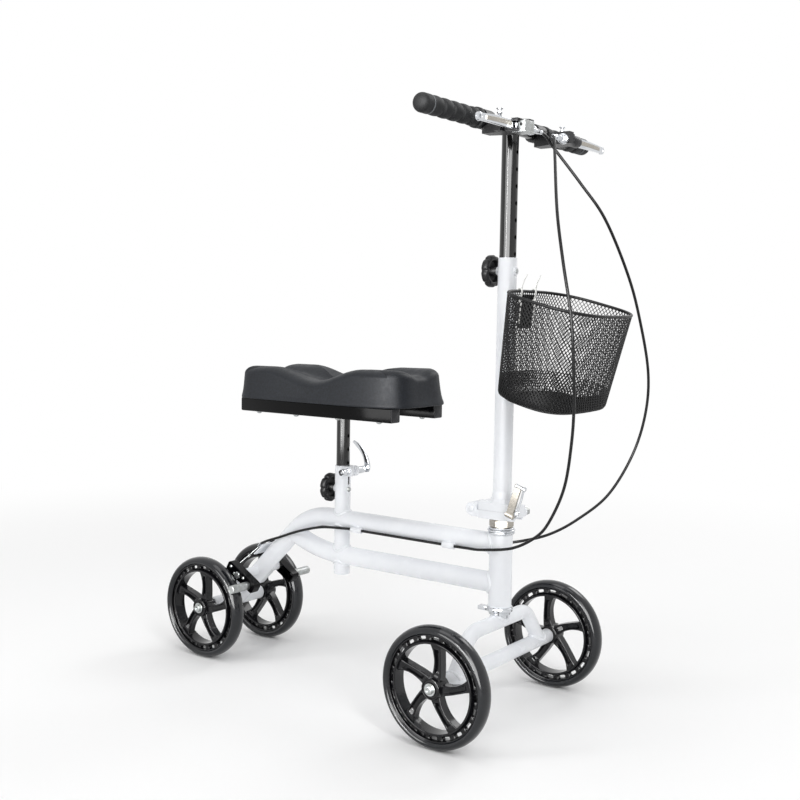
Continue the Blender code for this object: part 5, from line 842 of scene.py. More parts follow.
def buildSeatPost(values):
    outer, inner = values["post"]
    post = addPiece("seatPostTube", postSkin(seatX, outer, inner, values["postFrom"], values["postTo"], 80),
                    "polishedEnamel", "knee_rest", ["seat_post"])
    drill(post, seatX, [weldedFrame["knobHeight"] + values["holePitch"] * k for k in range(-2, 5)],
          values["holeRadius"], 20)
    low, high = seatX - values["topHalf"], seatX + values["topHalf"]
    top = [plate(rounded(box(*extent), corner, steps), low, high, edge)
           for extent, corner, steps, edge in values["topPlate"]]
    ring = np.stack([seatX + outer * np.cos(fullTurn), outer * np.sin(fullTurn), 0 * fullTurn + 519.8], 1)
    addPiece("seatTopPlate", top + [bead(ring, 3)], "blackEnamel", "knee_rest")


def buildRails(values):
    first, last = values["railX"]
    (across, z), half = values["railMiddle"], values["railHalf"]
    for side, sign in sides:
        y = sign * across
        section = lambda less, corner, steps: rounded(
            box(y - half + less, z - half + less, y + half - less, z + half - less), corner, steps)
        addPiece(f"padRail_{side}", plate(section(0, 2.6, 7), first + 1.6, last - 1.6, 0.3), "blackEnamel",
                 "knee_rest", [f"pad_rail_{side}"])
        plugs = []
        for end, inward in ((first, 1), (last, -1)):   # a plug in each end, with a raised middle
            plugs.append(plate(section(0.4, 2.6, 7), *sorted((end, end + inward * 2)), 0.7))
            plugs.append(plate(section(4.5, 2, 6), *sorted((end - inward * 0.4, end + inward)), 0.4))
        screws = [rod((first + (last - first) * share, y, z - half + 0.6), -alongZ, values["screw"], 32)
                  for share in values["screwsAt"]]
        addPiece(f"railEndPlugs_{side}", plugs, "plugPlastic", "knee_rest")
        addPiece(f"padScrews_{side}", screws, "zincPlate", "knee_rest", sharp=50)


def padHeight(u, v):
    # four lobes: the height swells away from a low middle as a cosine, less a trough along the shin
    rising = np.minimum(1, np.abs(u + 0.10) / 0.62)
    trough = (16 - 6 * np.clip(u, 0, 1) ** 2) * (0.35 + 0.65 * rising) / (1 + (v / 0.32) ** 4)
    return 52 - 12 * np.cos(math.pi * rising) + 2.5 * u - trough


def padPlace(values, u, v, slim):
    # a square of (u, v) pulled to a superellipse of power 5 in front and 9 behind, then to length and width
    back = np.clip(-u / 0.8, 0, 1)
    power = 5 + 4 * back * back * (3 - 2 * back)
    powers = np.maximum((np.abs(u) ** power + np.abs(v) ** power) ** (1 / power), 1e-9)
    share = np.where(powers > 1e-8, np.maximum(np.abs(u), np.abs(v)) / powers, 1)
    reach = values["padHalf"][0] - slim + (10 + 0.9 * slim) * back * back
    return values["padX"] + reach * u * share, (values["padHalf"][1] - slim) * v * share


def buildPad(values):
    count, bottom, edge, slim = 108, values["padBottom"], values["padEdge"], values["padSlim"]
    line = np.sin(math.pi / 2 * np.linspace(-1, 1, count + 1))
    u, v = np.meshgrid(line, line, indexing="ij")
    near = np.clip(np.maximum((np.abs(u) - 0.88) / 0.12, (np.abs(v) - 0.70) / 0.30), 0, 1)
    fall = edge * (1 - np.sqrt(1 - near * near))
    top = np.stack([*padPlace(values, u, v, slim), bottom + padHeight(u, v) - fall], -1)
    # the top's border once round, and from it the side down to the floor of the pad
    up, none, full = np.arange(count), np.zeros(count, int), np.full(count, count)
    border = (up, full, count - up, none), (none, up, full, count - up)
    rimU, rimV = (line[np.concatenate(order)] for order in border)
    tall = padHeight(rimU, rimV) - edge
    rows = [np.stack([*padPlace(values, rimU, rimV, slim * drawn), bottom + tall * height], -1)
            for height, drawn in values["padSide"]]
    middle = np.broadcast_to(rows[-1].mean(0), rows[-1].shape)
    rows += [middle * [0, 0, 1] + (rows[-1] * 0.9 + middle * 0.1) * [1, 1, 0], middle]
    pad = addPiece("kneePadFoam", [gridSkin(top, wrapColumns=False, close=False), gridSkin(rows, close=False)],
                   "skinFoam", "knee_rest", ["knee_pad"], sharp=60, weld=2e-6)


knob = {
    "radius": 27.2, "notch": 2.6,
    # depth from the tube's side and share of the radius: hollow underside with hub and rim, then the outer face
    "stations": [(0, 0.10), (0, 0.23), (0.8, 0.26), (12.5, 0.28), (13.7, 0.32), (14, 0.50), (13.2, 0.63), (8, 0.69),
                 (6.6, 0.71), (6, 0.74), (6, 0.88), (6.8, 0.95), (8.8, 1), (15.5, 1), (17.5, 0.95), (18.5, 0.86),
                 (18.5, 0.56), (16.5, 0.50), (16.5, 0.20)],
    "bolt": [(0, 0), (0, 6), (0.8, 6.8), (3, 6.8), (3, 3.3), (20, 3.3), (20, 0)],
}


def buildKnob(values, name, node, face, z):
    # seven lobes: radius = full less 2.6 mm x e^(-(cos 3.5 angle)^2 / 0.13), narrow notches between round lobes
    angle = np.linspace(0, 2 * math.pi, 112, endpoint=False)
    lobe = values["radius"] - values["notch"] * np.exp(-np.cos(3.5 * angle) ** 2 / 0.13)
    rows = []
    for back, share in values["stations"]:
        ring = lobe * share if share > 0.9 else lobe.mean() * share + (lobe - lobe.mean()) * max(0, share - 0.6)
        rows.append(np.stack([0 * angle + face - back, ring * np.cos(angle), z + ring * np.sin(angle)], 1))
    addPiece(f"{name}Grip", gridSkin(rows), "mouldedNylon", node, [node], sharp=50)
    addPiece(f"{name}Bolt", rod((face - 16, 0, z), alongX, values["bolt"], 32), "zincPlate", node)


seatClamp = {
    "axis": (-64.63, 393.5),    # x and z of the skewer
    # its parts along Y: where each starts, which way it runs, its profile and its steps
    "skewer": [(-25, 1, bothEnds([(0, 2.6), (0.4, 3)], 67), 24),
               (12.1, 1, [(0, 5.8), (0.4, 6.6), (1, 6.8), (19.6, 6.8), (20.6, 6.6), (21.2, 5.8), (21.2, 3.2)], 40),
               (-12.1, -1, [(0, 6.2), (0.4, 6.8), (3, 6.8), (3.4, 6.1), (6, 5.9), (6.6, 6.4), (19.6, 6.4),
                            (20.6, 6.1), (20.8, 5.4), (19, 5), (19, 0)], 40)],
    "socket": [(0, 5.2), (0.6, 5), (0.6, 2.6), (-0.4, 2.4), (-0.4, 0)],
    "boltEnd": [(0, 5), (1.2, 5), (1.6, 4.6), (2.2, 3.6), (3.6, 3.4), (4, 2.6), (4, 0)],
    "drum": bothEnds([(0, 5), (0.6, 6)], 10.4), "leverY": 39.6, "leverThick": (5, 4.2),
    # the lever's two edges, from its drum up to its tip, as x and z from the skewer
    "inner": [(-6, -5), (-3.5, 1), (-0.8, 9), (-4.5, 22.5), (-12.5, 34), (-22.5, 43.2), (-29.7, 49.2)],
    "outer": [(8.5, -5), (11.2, 1), (11.3, 8), (7, 21), (-3, 36), (-15.5, 47), (-27, 52.8)],
}


def buildSeatClamp(values):
    x, z = values["axis"]
    y = values["leverY"]
    skewer = [rod((x, start, z), sign * alongY, profile, steps) for start, sign, profile, steps in values["skewer"]]
    addPiece("seatSkewerSocket", rod((x, -30.8, z), -alongY, values["socket"], 32), "mouldedNylon", "frame")
    boltEnd = rod((seatX + 14, 0, weldedFrame["knobHeight"]), alongX, values["boltEnd"], 32)
    addPiece("seatKnobBoltEnd", boltEnd, "zincPlate", "frame")
    addPiece("seatSkewerSet", skewer, "chromePlate", "frame", ["seat_clamp_skewer"], sharp=40)
    inner, outer = ([(x + a, y, z + b) for a, b in values[name]] for name in ("inner", "outer"))
    lever = [blade(inner, outer, alongY, np.linspace(*values["leverThick"], 44)),
             rod((x - 5.2, y, z), alongX, values["drum"], 32)]
    addPiece("seatLeverBlade", lever, "chromePlate", "seat_lever", ["seat_quick_release_lever"], sharp=50)


buildSeatPost(kneeRest)
buildRails(kneeRest)
buildPad(kneeRest)
buildSeatClamp(seatClamp)
buildKnob(knob, "seatKnob", "seat_knob", seatX - 17.5, weldedFrame["knobHeight"])
print("knee rest built")


column = {
    "tube": [(14.9, 372.5), (16, 372.5), (16, 786), (15.6, 786.7), (15.2, 787), (14.9, 787)],  # radius and height
    # a cone that runs up from the hinge head into the tube
    "collar": [(14.9, 371.2), (19.5, 371.2), (19.5, 373.5), (19, 376.5), (17.6, 383), (16.6, 389), (15.8, 393),
               (14.9, 393)],
    "boltZ": 765,
    "weldNut": [(0, 8.6), (1.6, 8), (3.2, 7.8), (3.6, 7), (3.6, 4)],
    "farNut": [(0, 7.4), (1.6, 7.4), (2.6, 6.6), (2.9, 3)],
    "tip": [(0, 3.6), (2.4, 3.6), (2.7, 3), (2.7, 0)],   # short enough for the basket's hook to slide up past it
}
bars = {
    "stem": (14.3, 12.3), "stemFrom": 585, "stemTo": 1001, "holes": (737, 28, 9), "holeRadius": 3.5,
    "bar": 11.1, "barZ": 1003, "barHalf": 260, "gripFrom": 104, "gripTo": 267.5, "grip": 15, "ridgePitch": 26,
    "capLength": 24,
}


def buildColumn(values):
    z = values["boltZ"]
    addPiece("columnBoltEnd", rod((frontX + 16.5, 0, z), alongX, values["tip"], 28), "zincPlate", "column", sharp=45)
    skins = [around(values["tube"], 96, frontX), around(values["collar"], 96, frontX),
             rod((frontX - 15, 0, z), -alongX, values["weldNut"], 32),
             rod((frontX + 15, 0, z), alongX, values["farNut"], 32)]
    addPiece("columnTubeWelded", skins, "whiteEnamel", "column", ["column_tube"])


def buildStem(values):
    outer, inner = values["stem"]
    stem = addPiece("stemTube", postSkin(frontX, outer, inner, values["stemFrom"], values["stemTo"], 72),
                    "polishedEnamel", "handlebar", ["handlebar_stem"])
    first, pitch, count = values["holes"]
    drill(stem, frontX, [first + pitch * k for k in range(count)], values["holeRadius"], 30)
    r, half, z = values["bar"], values["barHalf"], values["barZ"]
    profile = bothEnds([(0, 0), (0, r - 1), (1, r)], 2 * half)
    x, y = outer * np.cos(fullTurn), outer * np.sin(fullTurn)
    sunk = z - np.maximum(np.sqrt(np.maximum(r * r - x * x, 0)), 3.5)   # the weld under the bar
    addPiece("barTube", [rod((frontX, -half, z), alongY, profile, 48), bead(np.stack([frontX + x, y, sunk], 1), 2.6)],
             "polishedEnamel", "handlebar", ["handlebar_bar"])


def gripSkin(values, sign):
    # a turned grip: a squarish inner flange, four finger hollows between ridges, and a domed cap
    z, full = values["barZ"], values["grip"]
    start, stop = values["gripFrom"], values["gripTo"]
    y = np.concatenate([[start, start + 0.6], np.linspace(start + 1.6, stop - 0.5, 150)])
    along = y - start
    capAt = stop - start - values["capLength"]
    # radius = full less 3.4 mm x e^(-(sin pi t)^2 / 0.09), t in ridge pitches from the cap
    turns = (capAt - 4.5 - along) / values["ridgePitch"]
    wave = np.sin(math.pi * turns) ** 2
    radius = full - 0.8 + 0.8 * wave - 3.4 * np.exp(-wave / 0.09) * (turns > 0.3) * (along > 10)
    radius = np.where(along < 6, full + 1.6, radius)
    radius = np.where((along > capAt - 2.4) & (along < capAt - 0.4), full - 1.8, radius)
    dome = np.clip((along - (stop - start - 12.5)) / 12.5, 0, 1)
    radius = np.where(along > capAt, full * np.sqrt(1 - 0.985 * dome ** 2.6), radius)[:, None]
    along = along[:, None]
    c, s = circle(56)
    square = 1 / (np.abs(c) ** 5 + np.abs(s) ** 5) ** 0.2
    flange = np.clip((8 - along) / 2, 0, 1)
    lip = 1 + 0.018 * (c * c - s * s) ** 2 * (along > 8) * (along < capAt - 3)
    shape = radius * (1 + 0.10 * flange * (square - 1)) * lip
    return gridSkin(np.stack([frontX + shape * c, sign * y[:, None] + 0 * shape, z + shape * s], -1))


def buildGrips(values):
    r = values["grip"]
    ring = bothEnds([(0, r - 3), (0, r - 0.2), (0.4, r)], 2.6)
    for side, sign in sides:
        addPiece(f"gripRubber_{side}", gripSkin(values, sign), "gripRubber", "handlebar", [f"grip_{side}"],
                 sharp=50)
        # a pale grey ring filling the groove behind the cap: painted highlight
        y = sign * (values["gripTo"] - values["capLength"] - 1.4)
        addPiece(f"gripPaintedHighlightRing_{side}", rod((frontX, y - 1.3, values["barZ"]), alongY, ring, 56), "paintedHighlightGrey",
                 "handlebar", sharp=50)


levers = {
    "pivot": (frontX + 59, 84, 989), "tip": (frontX + 66, 202.7, 985), "pin": (frontX + 41, 103.5, 1015),
    "barrelAt": (frontX + 69, 59.7, 986), "screwAt": (frontX + 28, 70.2, 998.5),
    "tipRing": [(2.9, -2.4), (3.4, -2.9), (6.2, -2.9), (6.8, -2.4), (6.8, 2.4), (6.2, 2.9), (3.4, 2.9), (2.9, 2.4)],
    "drum": bothEnds([(0, 6.2), (0.6, 7.3), (1, 7.5)], 10.4),
    # the right clamp's folded cover, from the pivot: outline, corner radius, its steps, low and high, axes
    "cover": [(box(18.6, -90, 20.2, -60.2), 0.5, 3, -10.4, 7.4, (alongX, alongY, alongZ)),
              ([(8.6, -10.4), (20, -10.4), (20, 7.4), (8.6, 5.4)], 1.2, 4, -90.2, -88.8, (alongX, alongZ, alongY)),
              (box(-4, -90, 21.4, -60.2), 2, 5, -11.4, -9.8, (alongX, alongY, alongZ))],
    "coverPin": [(0, 0), (0, 2.6), (1, 2.6), (1.4, 2), (1.4, 0)], "coverPinAt": (frontX + 72.6, -89.6, 989),
    "sleeveAt": (frontX + 60.8, 93, 989),
    "sleeve": [(0, 0), (0, 8.4), (0.6, 9.4), (1.6, 9.8), (25, 9.8), (26, 9.4), (26.6, 8.4), (26.6, 0)],
    "rivet": [(0, 3), (0.8, 4), (1.8, 3.6), (2.4, 2), (2.5, 0)],
    "lockPin": [(0, 0), (0, 4.4), (0.4, 5.3), (1, 5.5), (1.6, 5.4), (2, 4.6), (2.6, 3.3), (4, 2.9), (6, 3),
                (6.8, 3.6), (7.2, 4.5), (8.2, 4.5), (8.6, 3.6), (9.2, 3), (30, 3), (30, 0)],
    "barrel": [(0, 4.4), (0, 7.8), (0.6, 8.8), (1.2, 9), (6, 9), (6.6, 8.6), (7, 7.8), (7.8, 8), (10.8, 7.8),
               (11.8, 6.6), (12.2, 5.2), (12.4, 4.5), (28.8, 4.5), (29.4, 4), (29.5, 2.4)],
    "screw": [(0, 0), (0, 3.2), (0.8, 3.4), (1.8, 2.8), (2, 1.4), (1.2, 1.2), (1.2, 0)],
}


def knurled(start, toward, profile, flutes, depth, steps=120):
    # a turned part whose widest rings carry fine flutes: radius less depth x (1 - cos flutes x angle) / 2
    side, other = squareTo(toward, alongZ)
    angle = np.linspace(0, 2 * math.pi, steps, endpoint=False)[:, None]
    along, radius = np.array(profile, float).T[:, :, None, None]
    radius = radius - (radius > radius.max() - 0.4) * depth * (1 - np.cos(flutes * angle)) / 2
    return gridSkin(start + along * toward + radius * (np.cos(angle) * side + np.sin(angle) * other))


def buildLeverBlade(values, side, sign):
    x0, y0, z0 = values["pivot"]
    tip = np.array(values["tip"]) * [1, sign, 1]
    s = np.linspace(0, 1, 30)
    line = np.stack([x0 + 7 * s + 3 * np.sin(math.pi * s), sign * 91.5 + (tip[1] - sign * 91.5) * s, z0 - 4 * s], 1)
    half = (7.8 - 2.3 * s + 0.6 * np.sin(math.pi * s))[:, None] * alongZ
    ring, quads = around(values["tipRing"], 48)   # turned to have its hole along X
    neck = np.array([(x0 - 0.2, sign * 85, z0), (x0, sign * 96, z0)])
    skins = [blade(line - half, line + half, alongX, 8 - 2.6 * np.linspace(0, 1, 44) ** 1.5),
             (ring[:, [2, 1, 0]] * [1, 1, -1] + tip, quads),
             rod((x0, sign * y0, z0 - 5.2), alongZ, values["drum"]),
             blade(neck - 4.6 * alongZ, neck + 4.6 * alongZ, alongX, 7.6)]
    node = f"brake_lever_{side}"
    addPiece(f"brakeLeverBlade_{side}", skins, "chromePlate", node, [node], sharp=45)
    # a darker satin strip laid along the blade's front: painted reflection, the dark middle of the chrome face
    low, high = (line[4:26] + share * half[4:26] + 3 * alongX for share in (-0.5, 0.5))
    addPiece(f"leverPaintedReflection_{side}", blade(low, high, alongX, 3), "satinNickel", node)


def buildLevers(values):
    x0, y0, z0 = values["pivot"]
    for side, sign in sides:
        place = lambda name: np.array(values[name]) * [1, sign, 1]
        buildLeverBlade(values, side, sign)
        if side == "right":
            cover = [plate(rounded(outline, corner, steps), low, high, 0.4, *axes, (x0, 0, z0))
                     for outline, corner, steps, low, high, axes in values["cover"]]
            addPiece("clampCover_right", cover, "zincPlate", "handlebar", sharp=45)
            pin = rod(values["coverPinAt"], -alongY, values["coverPin"], 24)
            addPiece("clampPin_right", pin, "mouldedNylon", "handlebar", sharp=45)
        else:   # the left lever carries a round black sleeve instead
            sleeve = rod(values["sleeveAt"], (2.2, 57, -1), values["sleeve"], 48)
            addPiece("leverSleeve_left", sleeve, "mouldedNylon", "brake_lever_left", sharp=45)
        rivet = rod((x0, sign * y0, z0 + 9.5), alongZ, values["rivet"], 28)
        addPiece(f"leverPivot_{side}", rivet, "zincPlate", "handlebar", sharp=50)
        node = f"lock_pin_{side}"
        addPiece(f"lockPin_{side}", rod(place("pin"), -alongZ, values["lockPin"], 36), "chromePlate", node, [node],
                 sharp=50)
        barrel = knurled(place("barrelAt"), -sign * alongY, values["barrel"], 20, 0.9)
        addPiece(f"barrelAdjuster_{side}", barrel, "chromePlate", "handlebar", [f"barrel_adjuster_{side}"],
                 sharp=45)
        addPiece(f"clampScrew_{side}", rod(place("screwAt"), alongZ, values["screw"], 24), "zincPlate", "handlebar",
                 sharp=45)
        dressCopy(f"lever_clamp_{side}", "mouldedNylon", "handlebar", 0.9)


buildColumn(column)
buildStem(bars)
buildGrips(bars)
buildKnob(knob, "columnKnob", "column_knob", frontX - 18.5, column["boltZ"])
dressCopy("basket_bracket", "whiteEnamel", "column", 0.8)
buildLevers(levers)
print("column and handlebar built")


# worked out upright about the middle of the rim, and then tilted
basket = {
    "rim": (385.37, 0, 711), "tilt": 14.3, "rimHalf": (82, 119), "floorHalf": (67, 111), "forward": 11, "depth": 164,
    "strands": 100, "cellHeight": 8.4, "strand": (1.05, 0.9), "lapped": 0.12, "corner": 10, "rimWire": 2.5,
    "floorPitch": 4.6, "floorTurn": 50,
    "band": ((0.004, 1), (0.004, 0), (0.015, 0), (0.015, 1)),   # share of the depth and place inwards
    "tiesAt": (-30, 16),
    # a tie's strap round the wire, its standing tail and its stitches down the net: way points, spacing, direction
    # across, width from and to, thickness
    "tie": (([(4.2, 0, -15), (4.6, 0, -4), (3.4, 0, 2), (0, 0, 4.2), (-3.4, 0, 1.8), (-4, 0, -4)], 1.2, (0, 1, 0),
             4.6, 4.6, 1.2),
            ([(3, 0.5, -1), (1.5, 1.5, 8), (0.5, 5, 18), (1, 10, 29)], 1.5, (0.2, 0.9, -0.3), 3, 1.2, 1),
            ([(5, 0, -12), (7.5, 0.4, -20), (8.5, 0.6, -30), (11, 0.2, -42), (12.5, 0, -52)], 2, (0, 1, 0),
             3.2, 3.2, 1.1)),
}


def basketWall(values, angle, down, inset=0.0):
    # the wall: a superellipse of power 3 at each depth, shrinking and moving forward towards the floor, where the
    # last 10 mm turn in as a quarter circle
    depth, corner = values["depth"], values["corner"]
    turn = np.clip((down * depth - depth + corner) / corner, 0, 1)
    inset = inset + corner * (1 - np.sqrt(1 - turn * turn))
    halfX, halfY = (rim + (floor - rim) * down - inset
                    for rim, floor in zip(values["rimHalf"], values["floorHalf"]))
    c, s = np.cos(angle), np.sin(angle)
    return np.stack([halfX * np.sign(c) * np.abs(c) ** (2 / 3) + values["forward"] * down,
                     halfY * np.sign(s) * np.abs(s) ** (2 / 3), -depth * down], -1)


def rimAngle(values, share):
    # the angle after a share of the length round the wall, half way down
    fine = np.linspace(0, 2 * math.pi, 6001)
    line = basketWall(values, fine, 0 * fine + 0.5)
    along = np.concatenate([[0], np.cumsum(np.linalg.norm(np.diff(line, axis=0), axis=1))])
    return np.interp(share % 1, along / along[-1], fine)


def strands(values, points, outward):
    # flat strands: for each line of points, a four-cornered section, wide along the sheet and thin across it
    wide, thick = values["strand"]
    across = unit(np.cross(outward, unit(np.gradient(points, axis=1))))
    ring = np.stack([points + a * across * wide / 2 + b * outward * thick / 2 for a, b in box(-1, -1, 1, 1)], 2)
    lines, stations = points.shape[:2]
    last = stations * 4 - 4
    one = np.vstack([gridQuads(stations, 4), [(0, 3, 2, 1), (last, last + 1, last + 2, last + 3)]])
    return ring.reshape(-1, 3), (one[None] + (np.arange(lines) * stations * 4)[:, None, None]).reshape(-1, 4)


def wallNet(values, fromDown, toDown, inset=0.0, phase=0.0):
    # two crossing families of strands that run down the wall and round it, one diamond to a pitch
    count, cells = values["strands"], values["depth"] / values["cellHeight"]
    down = np.linspace(fromDown, toDown, max(6, int(cells * (toDown - fromDown) * 2) + 1))
    run = (down - fromDown) * cells / count
    small = 1e-3
    skins = []
    for direction in (-1, 1):
        share = (np.arange(count)[:, None] + phase) / count + direction * run
        wall = lambda share, down: basketWall(values, rimAngle(values, share), down + 0 * share, inset)
        points = wall(share, down)
        outward = unit(np.cross(wall(share, down + small) - points, wall(share + small, down) - points))
        skins.append(strands(values, points + direction * outward * values["lapped"], outward))
    return skins


def floorNet(values):
    # the same net lying flat, each strand cut where it meets the floor's outline
    halfX, halfY = (half - values["corner"] for half in values["floorHalf"])
    turn = math.radians(values["floorTurn"])
    offsets = (np.arange(-31, 32) * values["floorPitch"])[:, None]
    t = np.linspace(-160, 160, 1281)
    skins = []
    for direction in (-1, 1):
        runX, runY = math.cos(turn), direction * math.sin(turn)
        place = lambda t: (t * runX - offsets * runY, t * runY + offsets * runX)
        x, y = place(t)
        inside = (np.abs(x) / halfX) ** 3 + (np.abs(y) / halfY) ** 3 < 1
        first, last = t[inside.argmax(1)][:, None], t[len(t) - 1 - inside[:, ::-1].argmax(1)][:, None]
        x, y = place(first + (last - first) * np.linspace(0, 1, 5))
        points = np.stack([x + values["forward"], y, 0 * x - values["depth"] + direction * values["lapped"]], -1)
        skins.append(strands(values, points[inside.sum(1) > 12], alongZ))
    return skins


def ribbon(path, across, width, thick):
    # a flat strap with rounded edges carried along a path
    tangent = unit(np.gradient(path, axis=0))
    side = unit(np.array(across) - tangent * (tangent @ np.array(across, float))[:, None])
    a = np.array([-1, -0.85, 0.85, 1, 1, 0.85, -0.85, -1])[:, None]
    b = np.array([-0.5, -1, -1, -0.5, 0.5, 1, 1, 0.5])[:, None]
    up = np.cross(tangent, side)[:, None]
    return gridSkin(path[:, None] + width[:, None, None] / 2 * a * side[:, None] + b * thick / 2 * up)


def buildBasket(values):
    c, s = math.cos(math.radians(values["tilt"])), math.sin(math.radians(values["tilt"]))
    tilted = lambda skins: [(p @ [(c, 0, -s), (0, 1, 0), (s, 0, c)] + values["rim"], q) for p, q in skins]
    # a second net, set in behind the lowest fifth of the wall, makes the wall darker towards the bottom
    net = wallNet(values, 0, 1) + wallNet(values, 0.80, 1, 1.2, 0.5) + floorNet(values)
    addPiece("basketNet", tilted(net), "powderCoat", "basket", ["basket_mesh"], weld=1e-7)
    angle = rimAngle(values, np.linspace(0, 1, 180, endpoint=False))
    # a rim wire and a thinner one round the floor, and a folded band of sheet under the rim
    band = np.stack([basketWall(values, angle, 0 * angle + down, inward) for down, inward in values["band"]], 1)
    rims = [bead(basketWall(values, angle, 0 * angle, 1), values["rimWire"], 16),
            bead(basketWall(values, angle, 0 * angle + 1, 0.6), 1), gridSkin(band, wrapRows=True)]
    addPiece("basketRimWire", tilted(rims), "powderCoat", "basket", ["basket_rim"])
    dressCopy("basket_hook_plate", "powderCoat", "basket", 0.6)
    ties, back = [], 1 - values["rimHalf"][0]
    for y in values["tiesAt"]:     # two nylon ties over the back rim, each with a head
        for points, spacing, across, first, last, thick in values["tie"]:
            path = smoothPath(np.array(points) + [back, y, 0], spacing)
            ties.append(ribbon(path, across, np.linspace(first, last, len(path)), thick))
        head = rounded(box(y - 3.4, -20.1, y + 3.4, -12.9), 0.8, 3)
        ties.insert(-2, plate(head, back + 2.2, back + 6.4, 0.6))
    addPiece("basketTies", tilted(ties), "milkyNylon", "basket", sharp=50)


buildBasket(basket)
print("basket built")


armAxis = math.cos(math.pi / 6) * alongX - math.sin(math.pi / 6) * alongZ   # along a brake arm, and across it
armNormal = math.sin(math.pi / 6) * alongX + math.cos(math.pi / 6) * alongZ
brakes = {
    "roller": (-270.98, 65.8, 153.57), "grooves": (10, 33),
    "rollerSleeve": [(0, 4.2), (0, 7.4), (0.5, 7.9), (1, 8), (45.2, 8), (45.8, 7.8), (46.2, 7.2), (46.3, 6),
                     (45.4, 5.4), (45.4, 0)],
    "groove": bothEnds([(0, 7), (0.1, 8.2)], 1),
    "screwsAt": ((-24, 3), (-10, -4), (14, 3)), "screwFace": 65.1,
    "screw": [(0, 0), (0, 2.8), (0.6, 3), (1.4, 2.5), (1.8, 1.4), (1, 1.1), (1, 0)],
    "bolt": bothEnds([(0, 3.6), (0.4, 4)], 140), "washer": bothEnds([(0, 4), (0, 6)], 0.3),
}


def buildBrakes(values):
    x, y, z = values["roller"]
    for side, sign in sides:
        arm, outward = f"brake_arm_{side}", sign * alongY
        dressCopy(arm, "blackEnamel", arm, 0.7)
        roller = [rod((x, sign * y, z), outward, values["rollerSleeve"], 48)]
        roller += [rod((x, sign * (y + groove), z), outward, values["groove"], 48) for groove in values["grooves"]]
        addPiece(f"brakeRollerSleeve_{side}", roller, "zincPlate", arm, [f"brake_roller_{side}"], sharp=40)
        screws = [rod(brakePivot + armAxis * reach + armNormal * lift + outward * values["screwFace"], outward,
                      values["screw"], 24) for reach, lift in values["screwsAt"]]
        addPiece(f"brakeScrews_{side}", screws, "zincPlate", arm, sharp=45)
    bolt = [rod(brakePivot - 70 * alongY, alongY, values["bolt"], 24)]
    for outward in (-alongY, alongY):
        bolt.append(rod(brakePivot + 47.2 * outward, outward, values["washer"], 32))
        bolt.append(hexagon(brakePivot + 66.2 * outward, brakePivot + 70.2 * outward, 6.4))
    addPiece("brakePivotSet", bolt, "zincPlate", "frame", ["brake_pivot_bolt"], sharp=32)


cables = {
    "radius": 2.5, "spacing": 3.5,
    # way points of each loop from the lever down to the frame, (x from the rear axle, y, z)
    "right": [(703, -4, 980), (709, 10, 964), (745, 37, 908), (775, 70, 851), (790, 132, 762), (790, 186, 686),
              (788, 233, 594), (778, 250, 518), (756, 249, 441), (732, 204, 371), (701, 147, 330), (672, 99, 307),
              (642, 52, 298), (605, 28, 292), (575, 20.5, 288)],
    "left": [(711, 6, 978), (728, -21, 942), (769, -85, 852), (799, -118, 774), (821, -132, 700), (826, -129, 641),
             (819, -108, 564), (800, -75, 497), (774, -46, 418), (742, -35, 356), (714, -31, 326), (669, -29, 302),
             (609, -27.5, 291), (575, -20.5, 288)],
    "rear": [(299, 18.5, 286.5), (245, 21, 282), (192, 21.5, 268), (140, 21.5, 249), (105, 19, 236.5)],
    "splits": (620, 400),       # heights where a loop is cut from one piece into the next
    "lever": (frontX + 69, 29.9, 986),   # where the outer leaves the lever
    "guide": (18, 287),                  # y and z of the guides
    "atGuides": ((76, 85.7), (86, 108, 290, 314)),   # points in them behind the head tube, of loop and rear run
    "stopFoot": np.array([-270.83, 0, 196.8]),
    "cap": [(0, 2.6), (0.3, 3.2), (9, 3.2), (9.6, 2.8), (11, 2.2), (11.2, 1)],
    "stopPlate": [(-21, -14), (21, -14), (18, 18), (-18, 18)],
}


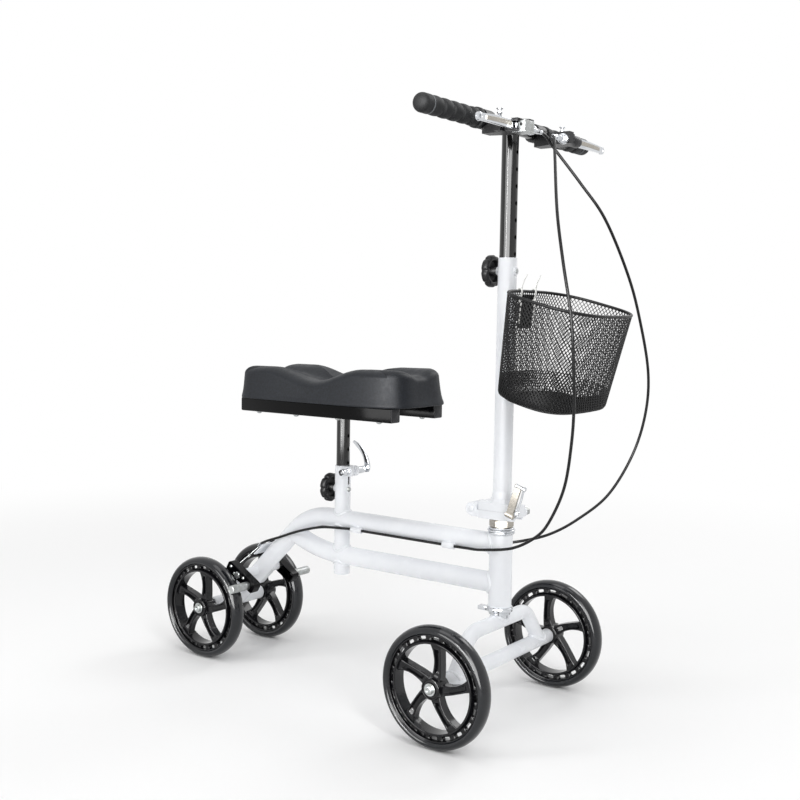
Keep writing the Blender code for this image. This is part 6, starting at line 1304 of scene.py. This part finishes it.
def buildLoop(values, side, sign, guides):
    # the lever's exit, the loop's way points and the first guide, on one smooth line in three pieces
    start = np.array(values["lever"]) * [1, sign, 1]
    points = [start, start - 10 * sign * alongY] + [(rearX + x, y, z) for x, y, z in values[side]] + guides
    path = smoothPath(points, values["spacing"])
    first, second = (int(np.argmax(path[:, 2] < height)) for height in values["splits"])
    for name, low, high, upper, lower in (
            ("Upper", 0, first, "handlebar", "column"), ("Middle", first, second, "column", "fork"),
            ("Lower", second, len(path) - 1, "fork", "frame")):
        part = path[low:high + 1]
        node = [f"brake_cable_{side}_loop"] if name == "Upper" else ()
        piece = addPiece(f"cable{name}_{side}", tube(part, values["radius"], 20), "vinylJacket", None, node)
        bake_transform(piece)


def buildCables(values):
    for side, sign in sides[::-1]:
        # each cable crosses over on its way to the frame
        across = -sign * alongY
        loopGuides, rearGuides = ([(frontX - behind, -sign * values["guide"][0], values["guide"][1])
                                   for behind in each] for each in values["atGuides"])
        buildLoop(values, side, sign, loopGuides)
        # the run that the frame holds, from guide to guide and down to the stop
        stop = values["stopFoot"] + tubeNormal * 30.7 + across * 14 + tubeAxis * 1.85
        points = rearGuides + [(rearX + x, -sign * y, z) for x, y, z in values["rear"]]
        rear = smoothPath(points + [stop + tubeAxis * 11, stop], values["spacing"])
        addPiece(f"cableRear_{side}", tube(rear, values["radius"], 20), "vinylJacket", "frame",
                 [f"brake_cable_{side}_rear"])
        # ferrules at both ends of the outer, and the bare inner wire from the stop to the brake arm
        back = unit(rear[-1] - rear[-4])
        addPiece(f"cableFerrule_{side}", rod(rear[-1] - back * 11, back, values["cap"], 28), "chromePlate", "frame",
                 sharp=45)
        ferrule = rod(np.array(values["lever"]) * [1, sign, 1] - 10.7 * sign * alongY, sign * alongY,
                      [(along, radius + 0.2) for along, radius in values["cap"]], 28)
        addPiece(f"leverFerrule_{side}", ferrule, "chromePlate", "handlebar", sharp=45)
        anchor = brakePivot - 24 * armAxis + 50 * across
        away = stop - tubeAxis * 3.5
        wire = smoothPath([stop + tubeAxis, away, (away * 2 + anchor) / 3 - tubeAxis * 2, (away + anchor * 2) / 3,
                           anchor], 2)
        addPiece(f"innerWire_{side}", tube(wire, 0.8, 12), "zincPlate", "frame")


def buildStopPlate(values):
    # the white plate welded under the two cable stops, leaning with the tube
    outline = rounded(values["stopPlate"], 3, 5)
    addPiece("cableStopPlate", plate(outline, 23.6, 25.8, 0.5, alongY, tubeAxis, tubeNormal, values["stopFoot"]),
             "whiteEnamel", "frame", sharp=50)


buildBrakes(brakes)
buildCables(cables)
buildStopPlate(cables)
print("brakes and cables built")
